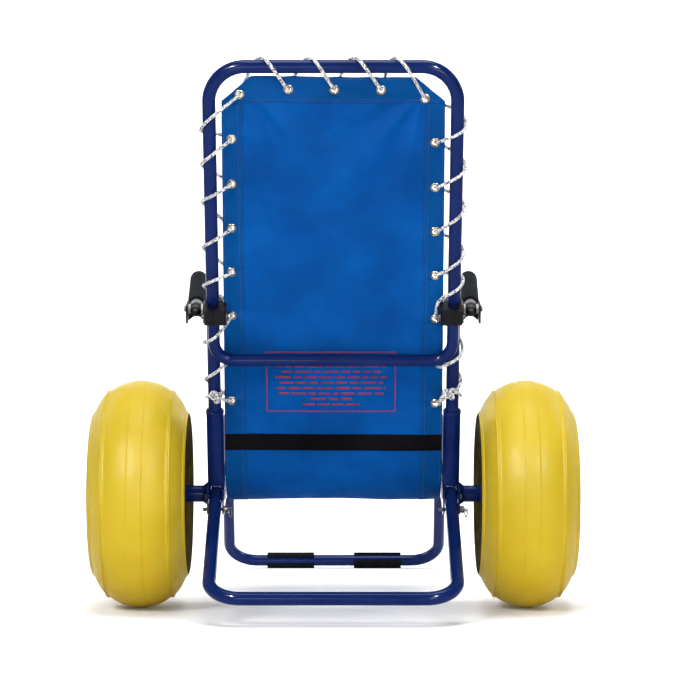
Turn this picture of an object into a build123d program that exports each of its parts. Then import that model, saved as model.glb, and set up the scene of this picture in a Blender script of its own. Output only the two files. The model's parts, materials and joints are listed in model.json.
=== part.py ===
from build123d import *
from math import asin, atan2, cos, degrees, hypot, pi, radians, sin, sqrt, tan
import os

# Beach cart: a laced sling seat on a bent-tube frame, with two balloon wheels, a rear step stand,
# a hinged seat-and-leg frame and two hinged armrests.
# Row frame: +X to the sitter's right, +Y to the front, +Z up, origin under the middle of the cart.

# ---- Driving dimensions, millimetres and degrees -------------------------------------------------
# Tubes
TUBE_OD = 28.0
TUBE_WALL = 2.0
FRAME_HALF = 253.5
RECLINE = 23.3
BACK_LENGTH = 966.5
BACK_CORNER = 75.0
BACK_TUBE_START = 32.0

# Sleeves that hold the back frame, and the side plates under them
SLEEVE_WALL = 4.0
SLEEVE_FIT = 0.3
SLEEVE_START = 27.0
SLEEVE_END = 192.0
SLEEVE_RING = 8.0
SLEEVE_RING_OD = 38.6
SLEEVE_BOLT_ALONG = 110.0
SIDE_GAP = 0.3
PLATE_ROUND = 6.0

# Lift bar clamped behind the back frame
LIFT_OD = 25.0
LIFT_WALL = 2.0
LIFT_HALF = 251.0
LIFT_ALONG = 327.5
LIFT_CORNER = 42.5
LIFT_END = 3.0
TUBE_TO_TUBE = 0.3

# Clamps, brackets and armrests
CLAMP_LOW = 418.0
CLAMP_HIGH = 451.0
CLAMP_FRONT = 30.0
CLAMP_REAR = 52.0
CLAMP_INNER_X = 224.0
CLAMP_FRONT_X = 237.5
CLAMP_SPLIT_X = 252.3
CLAMP_SPLIT_GAP = 0.6
CLAMP_STEP_BEHIND = 4.0
CLAMP_BORE_FIT = 0.05
CLAMP_ROUND = 5.0
CLAMP_REAR_BOLT = 45.7
CLAMP_FRONT_BOLT_ALONG = 443.5
ARM_X = 290.0
ARM_SLOPE = 11.0
ARM_SPLAY = 2.0
ARM_PIVOT_ALONG = 425.0
ARM_PIVOT_BEHIND = -22.0
ARM_OD = 27.0
ARM_WALL = 2.0
ARM_TUBE_START = 12.0
GRIP_START = 45.0
GRIP_LENGTH = 333.0
GRIP_OD = 38.6
GRIP_END_ROUND = 15.0
GRIP_END_CAP = 9.0
KNUCKLE_HALF = 11.0
KNUCKLE_BALL = 27.0
BRACKET_GAP = 32.0
BRACKET_CHEEK = 4.0
BRACKET_REAR = 34.0
BRACKET_FRONT = 26.0
BRACKET_TOP = 14.0
BRACKET_BOTTOM = 26.0
BRACKET_WEB_START = 13.5
BRACKET_WEB_TOP = 14.2
BRACKET_ARCH_R = 15.8
BRACKET_ARCH_DROP = 34.3

# Rear stand
STAND_PIVOT_ALONG = 8.0
STAND_FOLD_GAP = 1.2
STAND_ANGLE = 27.0
STAND_LENGTH = 403.0
STAND_CORNER = 65.0
STAND_HEEL = 15.0

# Seat and leg frame
SEAT_PIVOT_AHEAD = 45.0
SEAT_PIVOT_RISE = 5.0
SEAT_HEEL = 16.0
SEAT_ANGLE = 16.9
KNEE_DISTANCE = 523.0
KNEE_BEND = 110.0
FOOT_AHEAD = 965.0
FOOT_HALF = 263.0
FOOT_CORNER = 69.0
KNEE_BAR_DISTANCE = 448.0
STOP_DISTANCE = 34.0

# Foot pads
PAD_WALL = 5.95
PAD_FIT = 0.05
PAD_LENGTH = 118.0
PAD_X = 109.0
PAD_MOUTH = 70.0
PAD_MOUTH_LEFT = 180.0
PAD_MOUTH_RIGHT = 140.0
PAD_FLAT = 1.0

# Wheels
WHEEL_RADIUS = 245.0
WHEEL_X = 416.0
WHEEL_HALF = 105.0
AXLE_OD = 25.0
AXLE_FIT = 0.05
AXLE_END = 97.0
STUB_OD = 36.6
STUB_END = 328.0
STUB_FLANGE_R = 26.0
STUB_FLANGE = 10.0
HUB_FACE = 80.0
HUB_FLANGE = 8.0
HUB_FLANGE_R = 77.9
BEAD_R = 78.0
HUB_TUBE_R = 24.0
HUB_RIBS = 8
HUB_RIB_THICK = 4.0
HUB_RIB_RISE = 3.5
BUSH_R = 15.0
BUSH_FIT = 0.05
BUSH_FLANGE = 3.0
BUSH_FLANGE_R = 20.0
BUSH_LENGTH = 26.0
VALVE_RADIUS = 52.0
VALVE_ANGLE = 112.5
VALVE_BASE_R = 6.0
VALVE_BASE = 3.0
VALVE_STEM_R = 4.2
VALVE_LENGTH = 15.0
CROWN_HALF = 15.0
BEAD_IN = 75.0
RUN_GAP = 0.3
OUTER_WASHER = 2.4
RETAINER = 1.5
RETAINER_RISE = 3.5
RETAINER_MOUTH = 6.0
GROOVE_R = 11.4
CAP_R = 17.0
CAP_WALL = 3.0
SCREW_TIP = 2.0
SCREW_SUNK = 0.6

# Sling, eyelets and lacing rope
CLOTH = 2.4
SLING_TOP = 945.0
SLING_TOP_HALF = 168.0
SLING_CUT_ALONG = 893.0
SLING_HALF_HIGH = 228.0
SLING_HALF_LOW = 233.5
BAND_LOW = 105.0
BAND_HIGH = 143.0
BAND_THICK = 1.6
SEAT_LOW_Z = 229.5
SEAT_CURVE = 110.0
SLING_JOIN_GAP = 0.6
HEM_GAP = 0.3
HEM_WRAP = 205.0
EYELET_HOLE = 6.0
EYELET_OD = 23.0
EYELET_HALF_THICK = 2.2
EYELET_FIT = 0.2
EYELET_ROWS = 7
EYELET_SIDE_X = 217.5
EYELET_SIDE_STEP = 1.45
EYELET_LEFT_FIRST = 221.0
EYELET_LEFT_PITCH = 98.5
EYELET_RIGHT_FIRST = 216.5
EYELET_RIGHT_PITCH = 98.0
EYELET_TOP_ALONG = 918.0
EYELETS_TOP_X = (97.5, 2.5, -91.5)
EYELET_CORNER_RIGHT = (187.0, 900.0)
EYELET_CORNER_LEFT = (-191.0, 907.0)
ROPE_OD = 7.0
ROPE_GAP = 0.5
ROPE_LIFT = 6.5
ROPE_TAIL = 14.0
ROPE_REAR_SHARES = (0.57, 0.86)
ROPE_FRONT_SHARES = (0.14, 0.43)
ROPE_OUTER_RIGHT = (272.0, 351.0, 504.0, 562.5, 665.0, 752.5, 843.0)
ROPE_OUTER_LEFT = (826.0, 754.0, 676.0, 574.0, 486.0, 365.0, 272.0)
ROPE_OVER_X = (126.0, 45.5, -44.5, -142.5)
LIFT_LINK_RIGHT = 1
LIFT_CORNERS_RIGHT = (
    (222.0, 309.0, 26.0),
    (240.7, 325.0, 42.6),
    (263.0, 340.0, 46.0),
    (273.0, 349.0, 28.0),
    (271.5, 358.0, -10.4),
    (253.5, 380.0, -20.8),
)
CLAMP_LINK_RIGHT = 2
CLAMP_CORNERS_RIGHT = (
    (217.5, 460.0, 10.0),
    (253.5, 480.0, 20.8),
    (271.5, 495.0, 10.4),
    (271.5, 505.0, -10.4),
    (253.5, 508.5, -20.8),
)
CLAMP_LINK_LEFT = 4
CLAMP_CORNERS_LEFT = (
    (253.5, 505.0, 20.8),
    (271.5, 493.0, 10.4),
    (271.5, 480.0, -10.4),
    (253.5, 466.0, -20.8),
    (227.0, 453.0, -9.0),
)
LIFT_LINK_LEFT = 5
LIFT_CORNERS_LEFT = (
    (240.7, 392.0, 42.6),
    (263.0, 378.0, 46.0),
    (273.0, 368.0, 28.0),
    (271.5, 356.0, -10.4),
    (253.5, 340.0, -20.8),
)
ROPE_END = (-243.0, 238.0, 21.0)
KNOT_OD = 19.0
KNOT_RIGHT = (245.0, 249.0, 24.5)
KNOT_LEFT = (-249.0, 242.0, 24.5)
STOPPER_R = 7.5

# Fasteners
BOLT_R = 4.0
SMALL_BOLT_R = 3.0
BOLT_FIT = 0.08
HEAD_HEIGHT = 5.0
HEAD_R = 7.0
SMALL_HEAD_R = 5.5
PIN_R = 4.0
PIN_TIP = 9.0
PIN_HEAD_R = 8.0
PIN_HEAD = 9.0
TAB_REACH = 4.0
TAB_THICK = 3.0
TAB_HALF = 3.7
TAB_EYE_R = 2.3
RING_R = 8.0
RING_WIRE_R = 1.3
RING_HANG = 0.5
RING_TILT = 20.0
PIN_ALONG_LEG = 20.0
PIN_GAP = 0.4

# ---- Places worked out from the driving dimensions -----------------------------------------------
TUBE_R = TUBE_OD / 2
LIFT_R = LIFT_OD / 2
SLEEVE_ID = TUBE_OD + 2 * SLEEVE_FIT
SLEEVE_OD = SLEEVE_ID + 2 * SLEEVE_WALL
PLATE_GAP = TUBE_OD + 2 * SIDE_GAP
PLATE_THICK = SLEEVE_WALL
PLATE_IN = FRAME_HALF - PLATE_GAP / 2 - PLATE_THICK
PLATE_OUT = FRAME_HALF + PLATE_GAP / 2 + PLATE_THICK
AXLE_Z = WHEEL_RADIUS
LEAN_SIN = sin(radians(RECLINE))
LEAN_COS = cos(radians(RECLINE))
LIFT_BEHIND = TUBE_R + TUBE_TO_TUBE + LIFT_R
PAD_R = TUBE_R + PAD_FIT + PAD_WALL
FOOT_Z = PAD_R - PAD_FLAT


def lean(along, behind):
    """Distance ahead of the axle and height above it of a place on the reclined back."""
    return (-along * LEAN_SIN - behind * LEAN_COS, along * LEAN_COS - behind * LEAN_SIN)


STAND_PIVOT_BEHIND = SLEEVE_OD / 2 + TUBE_R + STAND_FOLD_GAP
STAND_PIVOT = lean(STAND_PIVOT_ALONG, STAND_PIVOT_BEHIND)
STAND_SIN = sin(radians(STAND_ANGLE))
STAND_COS = cos(radians(STAND_ANGLE))
STAND_BAR = (STAND_PIVOT[0] - STAND_LENGTH * STAND_COS, STAND_PIVOT[1] - STAND_LENGTH * STAND_SIN)
PIN_DROP = TUBE_R + PIN_R + PIN_GAP
PIN_PLACE = (
    STAND_PIVOT[0] - PIN_ALONG_LEG * STAND_COS + PIN_DROP * STAND_SIN,
    STAND_PIVOT[1] - PIN_ALONG_LEG * STAND_SIN - PIN_DROP * STAND_COS,
)
SEAT_SIN = sin(radians(SEAT_ANGLE))
SEAT_COS = cos(radians(SEAT_ANGLE))
SEAT_PIVOT = (SEAT_PIVOT_AHEAD, SEAT_PIVOT_RISE)


def seat_leg(distance, drop=0.0):
    """A place along the upper run of the seat frame, measured from its pivot."""
    ahead = SEAT_PIVOT[0] + distance * SEAT_COS + drop * SEAT_SIN
    return (ahead, SEAT_PIVOT[1] + distance * SEAT_SIN - drop * SEAT_COS)


STOP_PLACE = seat_leg(STOP_DISTANCE, TUBE_R + BOLT_R + PIN_GAP)
KNEE = seat_leg(KNEE_DISTANCE)
KNEE_BAR = seat_leg(KNEE_BAR_DISTANCE)
AXLE_Y = -(FOOT_AHEAD + PAD_R + STAND_BAR[0] - TUBE_R) / 2

BACK_PLANE = Plane(
    origin=(0, AXLE_Y, AXLE_Z),
    x_dir=(1, 0, 0),
    z_dir=(0, -LEAN_COS, -LEAN_SIN),
)


def cart_point(x, place):
    """A row-frame point at side distance x, from (ahead of the axle, above the axle)."""
    return (x, AXLE_Y + place[0], AXLE_Z + place[1])


def side_plane(x):
    """A sketch plane square to X: its own x runs ahead of the axle and its own y runs up."""
    return Plane(origin=(x, AXLE_Y, AXLE_Z), x_dir=(0, 1, 0), z_dir=(1, 0, 0))


def corner_radii(points):
    """Bend radii of a cord through the points: each takes 0.45 of its shorter run."""
    radii = []
    for before, here, after in zip(points, points[1:], points[2:]):
        arriving = Vector(*here) - Vector(*before)
        leaving = Vector(*after) - Vector(*here)
        half_turn = radians(arriving.get_angle(leaving)) / 2
        radii.append(0.45 * min(arriving.length, leaving.length) / tan(half_turn))
    return radii


def bent_tube(points, radii, outer, wall):
    """A hollow tube along straight runs joined by tangent arcs."""
    with BuildPart() as tube:
        with BuildLine() as route:
            FilletPolyline(*points, radius=radii)
        with BuildSketch(Plane(route.line @ 0, z_dir=route.line % 0)):
            Circle(outer / 2)
            Circle(outer / 2 - wall, mode=Mode.SUBTRACT)
        sweep(path=route.line)
    return tube.part


def bolt(start, end, place, radius, head_radius):
    """A hex bolt square to X, its head beyond the start and its shank ending at the end."""
    direction = 1 if end > start else -1
    with BuildPart() as fastener:
        with BuildSketch(side_plane(start)):
            with Locations(place):
                Circle(radius)
        extrude(amount=end - start)
        with BuildSketch(side_plane(start)):
            with Locations(place):
                RegularPolygon(head_radius, 6)
        extrude(amount=-direction * HEAD_HEIGHT)
    return fastener.part


def nut(start, end, place, radius, head_radius):
    """A hex nut square to X, bored to clear its bolt."""
    with BuildPart() as fastener:
        with BuildSketch(side_plane(start)):
            with Locations(place):
                RegularPolygon(head_radius, 6)
                Circle(radius + BOLT_FIT, mode=Mode.SUBTRACT)
        extrude(amount=end - start)
    return fastener.part


def save(piece, label):
    """Label a finished piece and write it to its own file."""
    piece.label = label
    export_step(piece, f"parts/{label}.step")


def save_group(pieces, label):
    """Write separate solids that share one node."""
    save(Compound(children=list(pieces)), label)


def both_sides(piece):
    """The right-hand piece and its mirror image on the left."""
    return (piece, mirror(piece, about=Plane.YZ))


def save_pair(piece, label):
    """Write the right-hand piece and its left-hand mirror image."""
    right, left = both_sides(piece)
    save(right, f"{label}_right")
    save(left, f"{label}_left")


os.makedirs("parts", exist_ok=True)

# ---- Back frame and lift bar ---------------------------------------------------------------------
back_points = [
    BACK_PLANE.from_local_coords(Vector(x, along, 0))
    for x, along in (
        (-FRAME_HALF, BACK_TUBE_START),
        (-FRAME_HALF, BACK_LENGTH),
        (FRAME_HALF, BACK_LENGTH),
        (FRAME_HALF, BACK_TUBE_START),
    )
]
back_tube = bent_tube(back_points, [BACK_CORNER] * 2, TUBE_OD, TUBE_WALL)
with BuildPart() as back_frame:
    add(back_tube)
    with BuildSketch(BACK_PLANE):
        with Locations((-FRAME_HALF, SLEEVE_BOLT_ALONG), (FRAME_HALF, SLEEVE_BOLT_ALONG)):
            Circle(SMALL_BOLT_R + BOLT_FIT)
    extrude(amount=-TUBE_OD, mode=Mode.SUBTRACT)
save(back_frame.part, "back_frame")

lift_points = [
    BACK_PLANE.from_local_coords(Vector(x, along, LIFT_BEHIND))
    for x, along in (
        (-LIFT_HALF, CLAMP_HIGH - LIFT_END),
        (-LIFT_HALF, LIFT_ALONG),
        (LIFT_HALF, LIFT_ALONG),
        (LIFT_HALF, CLAMP_HIGH - LIFT_END),
    )
]
save(bent_tube(lift_points, [LIFT_CORNER] * 2, LIFT_OD, LIFT_WALL), "lift_bar")

# ---- Sleeves, side plates and axle stubs ---------------------------------------------------------
sleeve_foot = BACK_PLANE.from_local_coords(Vector(FRAME_HALF, SLEEVE_START, 0))
sleeve_mouth = BACK_PLANE.from_local_coords(Vector(FRAME_HALF, SLEEVE_END, 0))
with BuildPart() as sleeve:
    with BuildSketch(Plane(sleeve_foot, z_dir=BACK_PLANE.y_dir)):
        Circle(SLEEVE_OD / 2)
        Circle(SLEEVE_ID / 2, mode=Mode.SUBTRACT)
    extrude(amount=SLEEVE_END - SLEEVE_START)
    with BuildSketch(BACK_PLANE):
        with Locations((FRAME_HALF, SLEEVE_BOLT_ALONG)):
            Circle(SMALL_BOLT_R + BOLT_FIT)
    extrude(amount=-SLEEVE_OD, mode=Mode.SUBTRACT)
save_pair(sleeve.part, "sleeve")

with BuildPart() as sleeve_ring:
    with BuildSketch(Plane(sleeve_mouth, z_dir=BACK_PLANE.y_dir)):
        Circle(SLEEVE_RING_OD / 2)
        Circle(TUBE_R + SLEEVE_FIT / 2, mode=Mode.SUBTRACT)
    extrude(amount=SLEEVE_RING)
    chamfer(sleeve_ring.edges().filter_by(GeomType.CIRCLE).group_by(SortBy.RADIUS)[-1], 1.2)
save_group(both_sides(sleeve_ring.part), "sleeve_rings")

with BuildPart() as sleeve_bolt:
    with BuildSketch(BACK_PLANE.offset(-SLEEVE_OD / 2)):
        with Locations((FRAME_HALF, SLEEVE_BOLT_ALONG)):
            RegularPolygon(SMALL_HEAD_R, 6)
    extrude(amount=-HEAD_HEIGHT)
    with BuildSketch(BACK_PLANE.offset(-SLEEVE_OD / 2)):
        with Locations((FRAME_HALF, SLEEVE_BOLT_ALONG)):
            Circle(SMALL_BOLT_R)
    extrude(amount=SLEEVE_OD / 2)
save_group(both_sides(sleeve_bolt.part), "sleeve_bolts")

PLATE_OUTLINE = (
    lean(SLEEVE_START, SLEEVE_OD / 2),
    lean(SLEEVE_START, -SLEEVE_OD / 2),
    (SEAT_PIVOT[0] + 14, SEAT_PIVOT[1] + 19),
    (STOP_PLACE[0] + 18, SEAT_PIVOT[1] + 6),
    (STOP_PLACE[0] + 18, STOP_PLACE[1] - 11),
    (SEAT_PIVOT[0], STOP_PLACE[1] - 13),
    (PIN_PLACE[0] + 18, PIN_PLACE[1] - 10),
    (PIN_PLACE[0] - 13, PIN_PLACE[1] - 10),
    (STAND_PIVOT[0] - 20, STAND_PIVOT[1] - 8),
    (STAND_PIVOT[0] - 15, STAND_PIVOT[1] + 14),
)
PLATE_HOLES = (STAND_PIVOT, PIN_PLACE, SEAT_PIVOT, STOP_PLACE)


def side_plate(x):
    """One cheek plate, its inner-side face at x."""
    with BuildPart() as plate:
        with BuildSketch(side_plane(x)) as outline:
            Polygon(*PLATE_OUTLINE, align=None)
            under_sleeve = Vector(*cart_point(x, lean(SLEEVE_START, 0)))
            fillet(outline.vertices().sort_by_distance(under_sleeve)[2:], PLATE_ROUND)
            with Locations(*PLATE_HOLES):
                Circle(BOLT_R + BOLT_FIT, mode=Mode.SUBTRACT)
        extrude(amount=PLATE_THICK)
    return plate.part


inner_plate = side_plate(PLATE_IN)
outer_plate = side_plate(PLATE_OUT - PLATE_THICK)
save_group((inner_plate, outer_plate), "side_plates_right")
save_group((mirror(inner_plate, about=Plane.YZ), mirror(outer_plate, about=Plane.YZ)), "side_plates_left")

screw_plane = Plane(origin=((PLATE_OUT + STUB_FLANGE + STUB_END) / 2, AXLE_Y, AXLE_Z))
with BuildPart() as axle_stub:
    with BuildSketch(side_plane(PLATE_OUT)):
        Circle(STUB_OD / 2)
    extrude(amount=STUB_END - PLATE_OUT)
    with BuildSketch(side_plane(PLATE_OUT)):
        Circle(STUB_FLANGE_R)
    with BuildSketch(side_plane(PLATE_OUT + STUB_FLANGE)):
        Circle(STUB_OD / 2)
    loft()
    with BuildSketch(side_plane(PLATE_OUT)):
        Circle(AXLE_OD / 2 + AXLE_FIT)
    extrude(amount=STUB_END - PLATE_OUT, mode=Mode.SUBTRACT)
    with BuildSketch(screw_plane):
        Circle(SMALL_BOLT_R + BOLT_FIT)
    extrude(amount=-STUB_OD, mode=Mode.SUBTRACT)
save_pair(axle_stub.part, "axle_stub")

# ---- Pivot and stop bolts of the side plates -----------------------------------------------------
PLATE_BOLTS = (
    (STAND_PIVOT, "stand_pivot_bolts"),
    (SEAT_PIVOT, "seat_pivot_bolts"),
    (STOP_PLACE, "seat_stop_bolts"),
)
for place, label in PLATE_BOLTS:
    save_group(both_sides(bolt(PLATE_OUT, PLATE_IN, place, BOLT_R, HEAD_R)), label)

# ---- Armrest clamps and brackets -----------------------------------------------------------------
clamp_plane = Plane(
    origin=BACK_PLANE.from_local_coords(Vector(0, CLAMP_LOW, 0)),
    x_dir=(1, 0, 0),
    z_dir=BACK_PLANE.y_dir,
)
ARM_PIVOT = lean(ARM_PIVOT_ALONG, ARM_PIVOT_BEHIND)
REAR_BOLT_PLACE = lean((CLAMP_LOW + CLAMP_HIGH) / 2, CLAMP_REAR_BOLT)
FRONT_BOLT_PLACE = lean(CLAMP_FRONT_BOLT_ALONG, ARM_PIVOT_BEHIND)
BRACKET_IN = ARM_X - BRACKET_GAP / 2 - BRACKET_CHEEK
BRACKET_OUT = ARM_X + BRACKET_GAP / 2 + BRACKET_CHEEK
CLAMP_BOLT_HOLES = ((REAR_BOLT_PLACE, SMALL_BOLT_R), (FRONT_BOLT_PLACE, SMALL_BOLT_R), (ARM_PIVOT, BOLT_R))


def clamp_half(outline):
    """Half of a clamp round both tubes, from corners of side distance and distance behind."""
    with BuildPart() as half:
        with BuildSketch(clamp_plane) as section:
            Polygon(*[(x, -behind) for x, behind in outline], align=None)
            from_split = sorted(section.vertices(), key=lambda corner: abs(corner.X - CLAMP_SPLIT_X))
            fillet(from_split[-2:], CLAMP_ROUND)
            with Locations((FRAME_HALF, 0)):
                Circle(TUBE_R + CLAMP_BORE_FIT, mode=Mode.SUBTRACT)
            with Locations((LIFT_HALF, -LIFT_BEHIND)):
                Circle(LIFT_R + CLAMP_BORE_FIT, mode=Mode.SUBTRACT)
        extrude(amount=CLAMP_HIGH - CLAMP_LOW)
        for place, radius in CLAMP_BOLT_HOLES:
            with BuildSketch(side_plane(0)):
                with Locations(place):
                    Circle(radius + BOLT_FIT)
            extrude(amount=BRACKET_IN, mode=Mode.SUBTRACT)
    return half.part


def arm_plane(x):
    """A sketch plane square to X at the armrest pivot, its own x along the armrest."""
    return Plane(origin=cart_point(x, ARM_PIVOT), x_dir=(0, ARM_COS, ARM_SIN), z_dir=(1, 0, 0))


OUTER_FACE = CLAMP_SPLIT_X + CLAMP_SPLIT_GAP / 2
INNER_FACE = CLAMP_SPLIT_X - CLAMP_SPLIT_GAP / 2
ARM_SIN = sin(radians(ARM_SLOPE))
ARM_COS = cos(radians(ARM_SLOPE))
clamp_outer = clamp_half((
    (OUTER_FACE, -CLAMP_FRONT),
    (OUTER_FACE, CLAMP_REAR),
    (BRACKET_IN, CLAMP_REAR),
    (BRACKET_IN, -CLAMP_FRONT),
))
clamp_inner = clamp_half((
    (INNER_FACE, -CLAMP_FRONT),
    (CLAMP_FRONT_X, -CLAMP_FRONT),
    (CLAMP_FRONT_X, CLAMP_STEP_BEHIND),
    (CLAMP_INNER_X, CLAMP_STEP_BEHIND),
    (CLAMP_INNER_X, CLAMP_REAR),
    (INNER_FACE, CLAMP_REAR),
))
save_pair(clamp_inner, "clamp_half")

with BuildPart() as bracket:
    add(clamp_outer)
    for cheek_x in (BRACKET_IN, BRACKET_OUT - BRACKET_CHEEK):
        with BuildSketch(arm_plane(cheek_x)) as cheek:
            Polygon(
                (-BRACKET_REAR, -BRACKET_BOTTOM),
                (BRACKET_FRONT, -BRACKET_BOTTOM),
                (BRACKET_FRONT, BRACKET_TOP),
                (-BRACKET_REAR, BRACKET_TOP),
                align=None,
            )
            fillet(cheek.vertices(), BRACKET_CHEEK)
            Circle(BOLT_R + BOLT_FIT, mode=Mode.SUBTRACT)
        extrude(amount=BRACKET_CHEEK)
    with BuildSketch(arm_plane(BRACKET_IN + BRACKET_CHEEK)):
        Polygon(
            (BRACKET_WEB_START, -BRACKET_BOTTOM),
            (BRACKET_FRONT, -BRACKET_BOTTOM),
            (BRACKET_FRONT, -BRACKET_WEB_TOP),
            (BRACKET_WEB_START, -BRACKET_WEB_TOP),
            align=None,
        )
    extrude(amount=BRACKET_GAP)
    arch_centre = arm_plane(ARM_X).from_local_coords(Vector(0, -BRACKET_ARCH_DROP, 0))
    with BuildSketch(Plane(arch_centre, z_dir=(0, ARM_COS, ARM_SIN))):
        Circle(BRACKET_ARCH_R)
    extrude(amount=2 * BRACKET_FRONT, mode=Mode.SUBTRACT)
save_pair(bracket.part, "armrest_bracket")

rear_bolt_end = BRACKET_IN + HEAD_HEIGHT + 1
rear_clamp_bolt = bolt(CLAMP_INNER_X, rear_bolt_end, REAR_BOLT_PLACE, SMALL_BOLT_R, SMALL_HEAD_R)
front_clamp_bolt = bolt(CLAMP_FRONT_X, BRACKET_IN - 1, FRONT_BOLT_PLACE, SMALL_BOLT_R, SMALL_HEAD_R)
nut_end = BRACKET_IN + HEAD_HEIGHT
rear_clamp_nut = nut(BRACKET_IN, nut_end, REAR_BOLT_PLACE, SMALL_BOLT_R, SMALL_HEAD_R)
pivot_bolt = bolt(BRACKET_OUT, CLAMP_SPLIT_X + 3, ARM_PIVOT, BOLT_R, HEAD_R)
save_group(both_sides(rear_clamp_bolt) + both_sides(front_clamp_bolt), "clamp_bolts")
save_group(both_sides(rear_clamp_nut), "clamp_nuts")
save_group(both_sides(pivot_bolt), "armrest_pivot_bolts")

# ---- Armrests ------------------------------------------------------------------------------------
splay = radians(ARM_SPLAY)
tube_start = arm_plane(ARM_X).from_local_coords(Vector(ARM_TUBE_START, 0, 0))
arm_axis = Plane(tube_start, z_dir=(sin(splay), cos(splay) * ARM_COS, cos(splay) * ARM_SIN))
grip_plane = arm_axis.offset(GRIP_START - ARM_TUBE_START)
ARM_TUBE_LENGTH = GRIP_START + GRIP_LENGTH - GRIP_END_CAP - 1 - ARM_TUBE_START

with BuildPart() as arm_tube:
    with BuildSketch(arm_axis):
        Circle(ARM_OD / 2)
        Circle(ARM_OD / 2 - ARM_WALL, mode=Mode.SUBTRACT)
    extrude(amount=ARM_TUBE_LENGTH)
save_pair(arm_tube.part, "armrest_tube")

with BuildPart() as grip:
    with BuildSketch(grip_plane):
        Circle(GRIP_OD / 2)
    extrude(amount=GRIP_LENGTH)
    rims = grip.edges().filter_by(GeomType.CIRCLE).sort_by(Axis.Y)
    fillet(rims[-1], GRIP_END_ROUND)
    with BuildSketch(grip_plane):
        Circle(ARM_OD / 2 + CLAMP_BORE_FIT)
    extrude(amount=GRIP_LENGTH - GRIP_END_CAP, mode=Mode.SUBTRACT)
save_pair(grip.part, "armrest_grip")

KNUCKLE_BOSS_R = ARM_TUBE_START - 0.2
SPIGOT_R = ARM_OD / 2 - ARM_WALL - 0.1
ball_centre = arm_plane(ARM_X).from_local_coords(Vector(-KNUCKLE_BALL, 0, 0))
with BuildPart() as knuckle:
    with BuildSketch(arm_plane(ARM_X - KNUCKLE_HALF)):
        Circle(KNUCKLE_BOSS_R)
    extrude(amount=2 * KNUCKLE_HALF)
    with Locations(ball_centre):
        Sphere(KNUCKLE_HALF)
    with BuildSketch(Plane(ball_centre, z_dir=(0, ARM_COS, ARM_SIN))):
        Circle(KNUCKLE_HALF - 0.5)
    extrude(amount=KNUCKLE_BALL + ARM_TUBE_START - 1)
    with BuildSketch(arm_axis):
        Circle(SPIGOT_R)
    extrude(amount=GRIP_START - ARM_TUBE_START)
    with BuildSketch(arm_plane(ARM_X - ARM_OD)):
        Circle(BOLT_R + BOLT_FIT)
    extrude(amount=2 * ARM_OD, mode=Mode.SUBTRACT)
save_pair(knuckle.part, "armrest_knuckle")

ARM_BUSH_R = 10.0
ARM_BUSH = BRACKET_GAP / 2 - KNUCKLE_HALF - 0.2
arm_bushes = []
for bush_x in (ARM_X - BRACKET_GAP / 2 + 0.1, ARM_X + KNUCKLE_HALF + 0.1):
    with BuildPart() as arm_bush:
        with BuildSketch(arm_plane(bush_x)):
            Circle(ARM_BUSH_R)
            Circle(BOLT_R + BOLT_FIT, mode=Mode.SUBTRACT)
        extrude(amount=ARM_BUSH)
    arm_bushes.append(arm_bush.part)
save_group(arm_bushes, "armrest_bushes_right")
save_group([mirror(piece, about=Plane.YZ) for piece in arm_bushes], "armrest_bushes_left")

# ---- Rear stand and its lock pins ----------------------------------------------------------------
STAND_TOP = (STAND_PIVOT[0] + STAND_HEEL * STAND_COS, STAND_PIVOT[1] + STAND_HEEL * STAND_SIN)
stand_points = [
    cart_point(-FRAME_HALF, STAND_TOP),
    cart_point(-FRAME_HALF, STAND_BAR),
    cart_point(FRAME_HALF, STAND_BAR),
    cart_point(FRAME_HALF, STAND_TOP),
]
stand_tube = bent_tube(stand_points, [STAND_CORNER] * 2, TUBE_OD, TUBE_WALL)
with BuildPart() as rear_stand:
    add(stand_tube)
    with BuildSketch(side_plane(-PLATE_OUT)):
        with Locations(STAND_PIVOT):
            Circle(BOLT_R + BOLT_FIT)
    extrude(amount=2 * PLATE_OUT, mode=Mode.SUBTRACT)
save(rear_stand.part, "rear_stand")

ring_tilt = radians(RING_TILT)
for side, tip_x in (("left", -PLATE_OUT - PIN_TIP), ("right", PLATE_IN - PIN_TIP)):
    head_x = tip_x + PIN_TIP + PLATE_OUT - PLATE_IN + PIN_GAP
    eye_x = head_x + PIN_HEAD + TAB_REACH
    with BuildPart() as lock_pin:
        with BuildSketch(side_plane(tip_x)):
            with Locations(PIN_PLACE):
                Circle(PIN_R)
        extrude(amount=head_x - tip_x)
        chamfer(lock_pin.edges().filter_by(GeomType.CIRCLE).sort_by(Axis.X)[0], 1)
        with BuildSketch(side_plane(head_x)):
            with Locations(PIN_PLACE):
                Circle(PIN_HEAD_R)
        extrude(amount=PIN_HEAD)
        chamfer(lock_pin.edges().filter_by(GeomType.CIRCLE).sort_by(Axis.X)[-1], 1.5)
        with BuildSketch(side_plane(head_x)):
            with Locations(PIN_PLACE):
                Rectangle(TAB_THICK, 2 * TAB_HALF)
        extrude(amount=PIN_HEAD + TAB_REACH + TAB_HALF)
        with BuildSketch(Plane(cart_point(eye_x, PIN_PLACE), z_dir=(0, 1, 0))):
            Circle(TAB_EYE_R)
        extrude(amount=TAB_THICK, both=True, mode=Mode.SUBTRACT)
    save(lock_pin.part, f"lock_pin_{side}")
    ring_centre = cart_point(eye_x, (PIN_PLACE[0], PIN_PLACE[1] - RING_R - RING_HANG))
    ring_across = (sin(ring_tilt), cos(ring_tilt), 0)
    ring_axis = Axis(ring_centre, (cos(ring_tilt), -sin(ring_tilt), 0))
    with BuildPart() as lock_ring:
        with BuildSketch(Plane(ring_centre, x_dir=ring_across, z_dir=(0, 0, 1))):
            with Locations((RING_R, 0)):
                Circle(RING_WIRE_R)
        revolve(axis=ring_axis)
    save(lock_ring.part, f"lock_ring_{side}")

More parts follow.
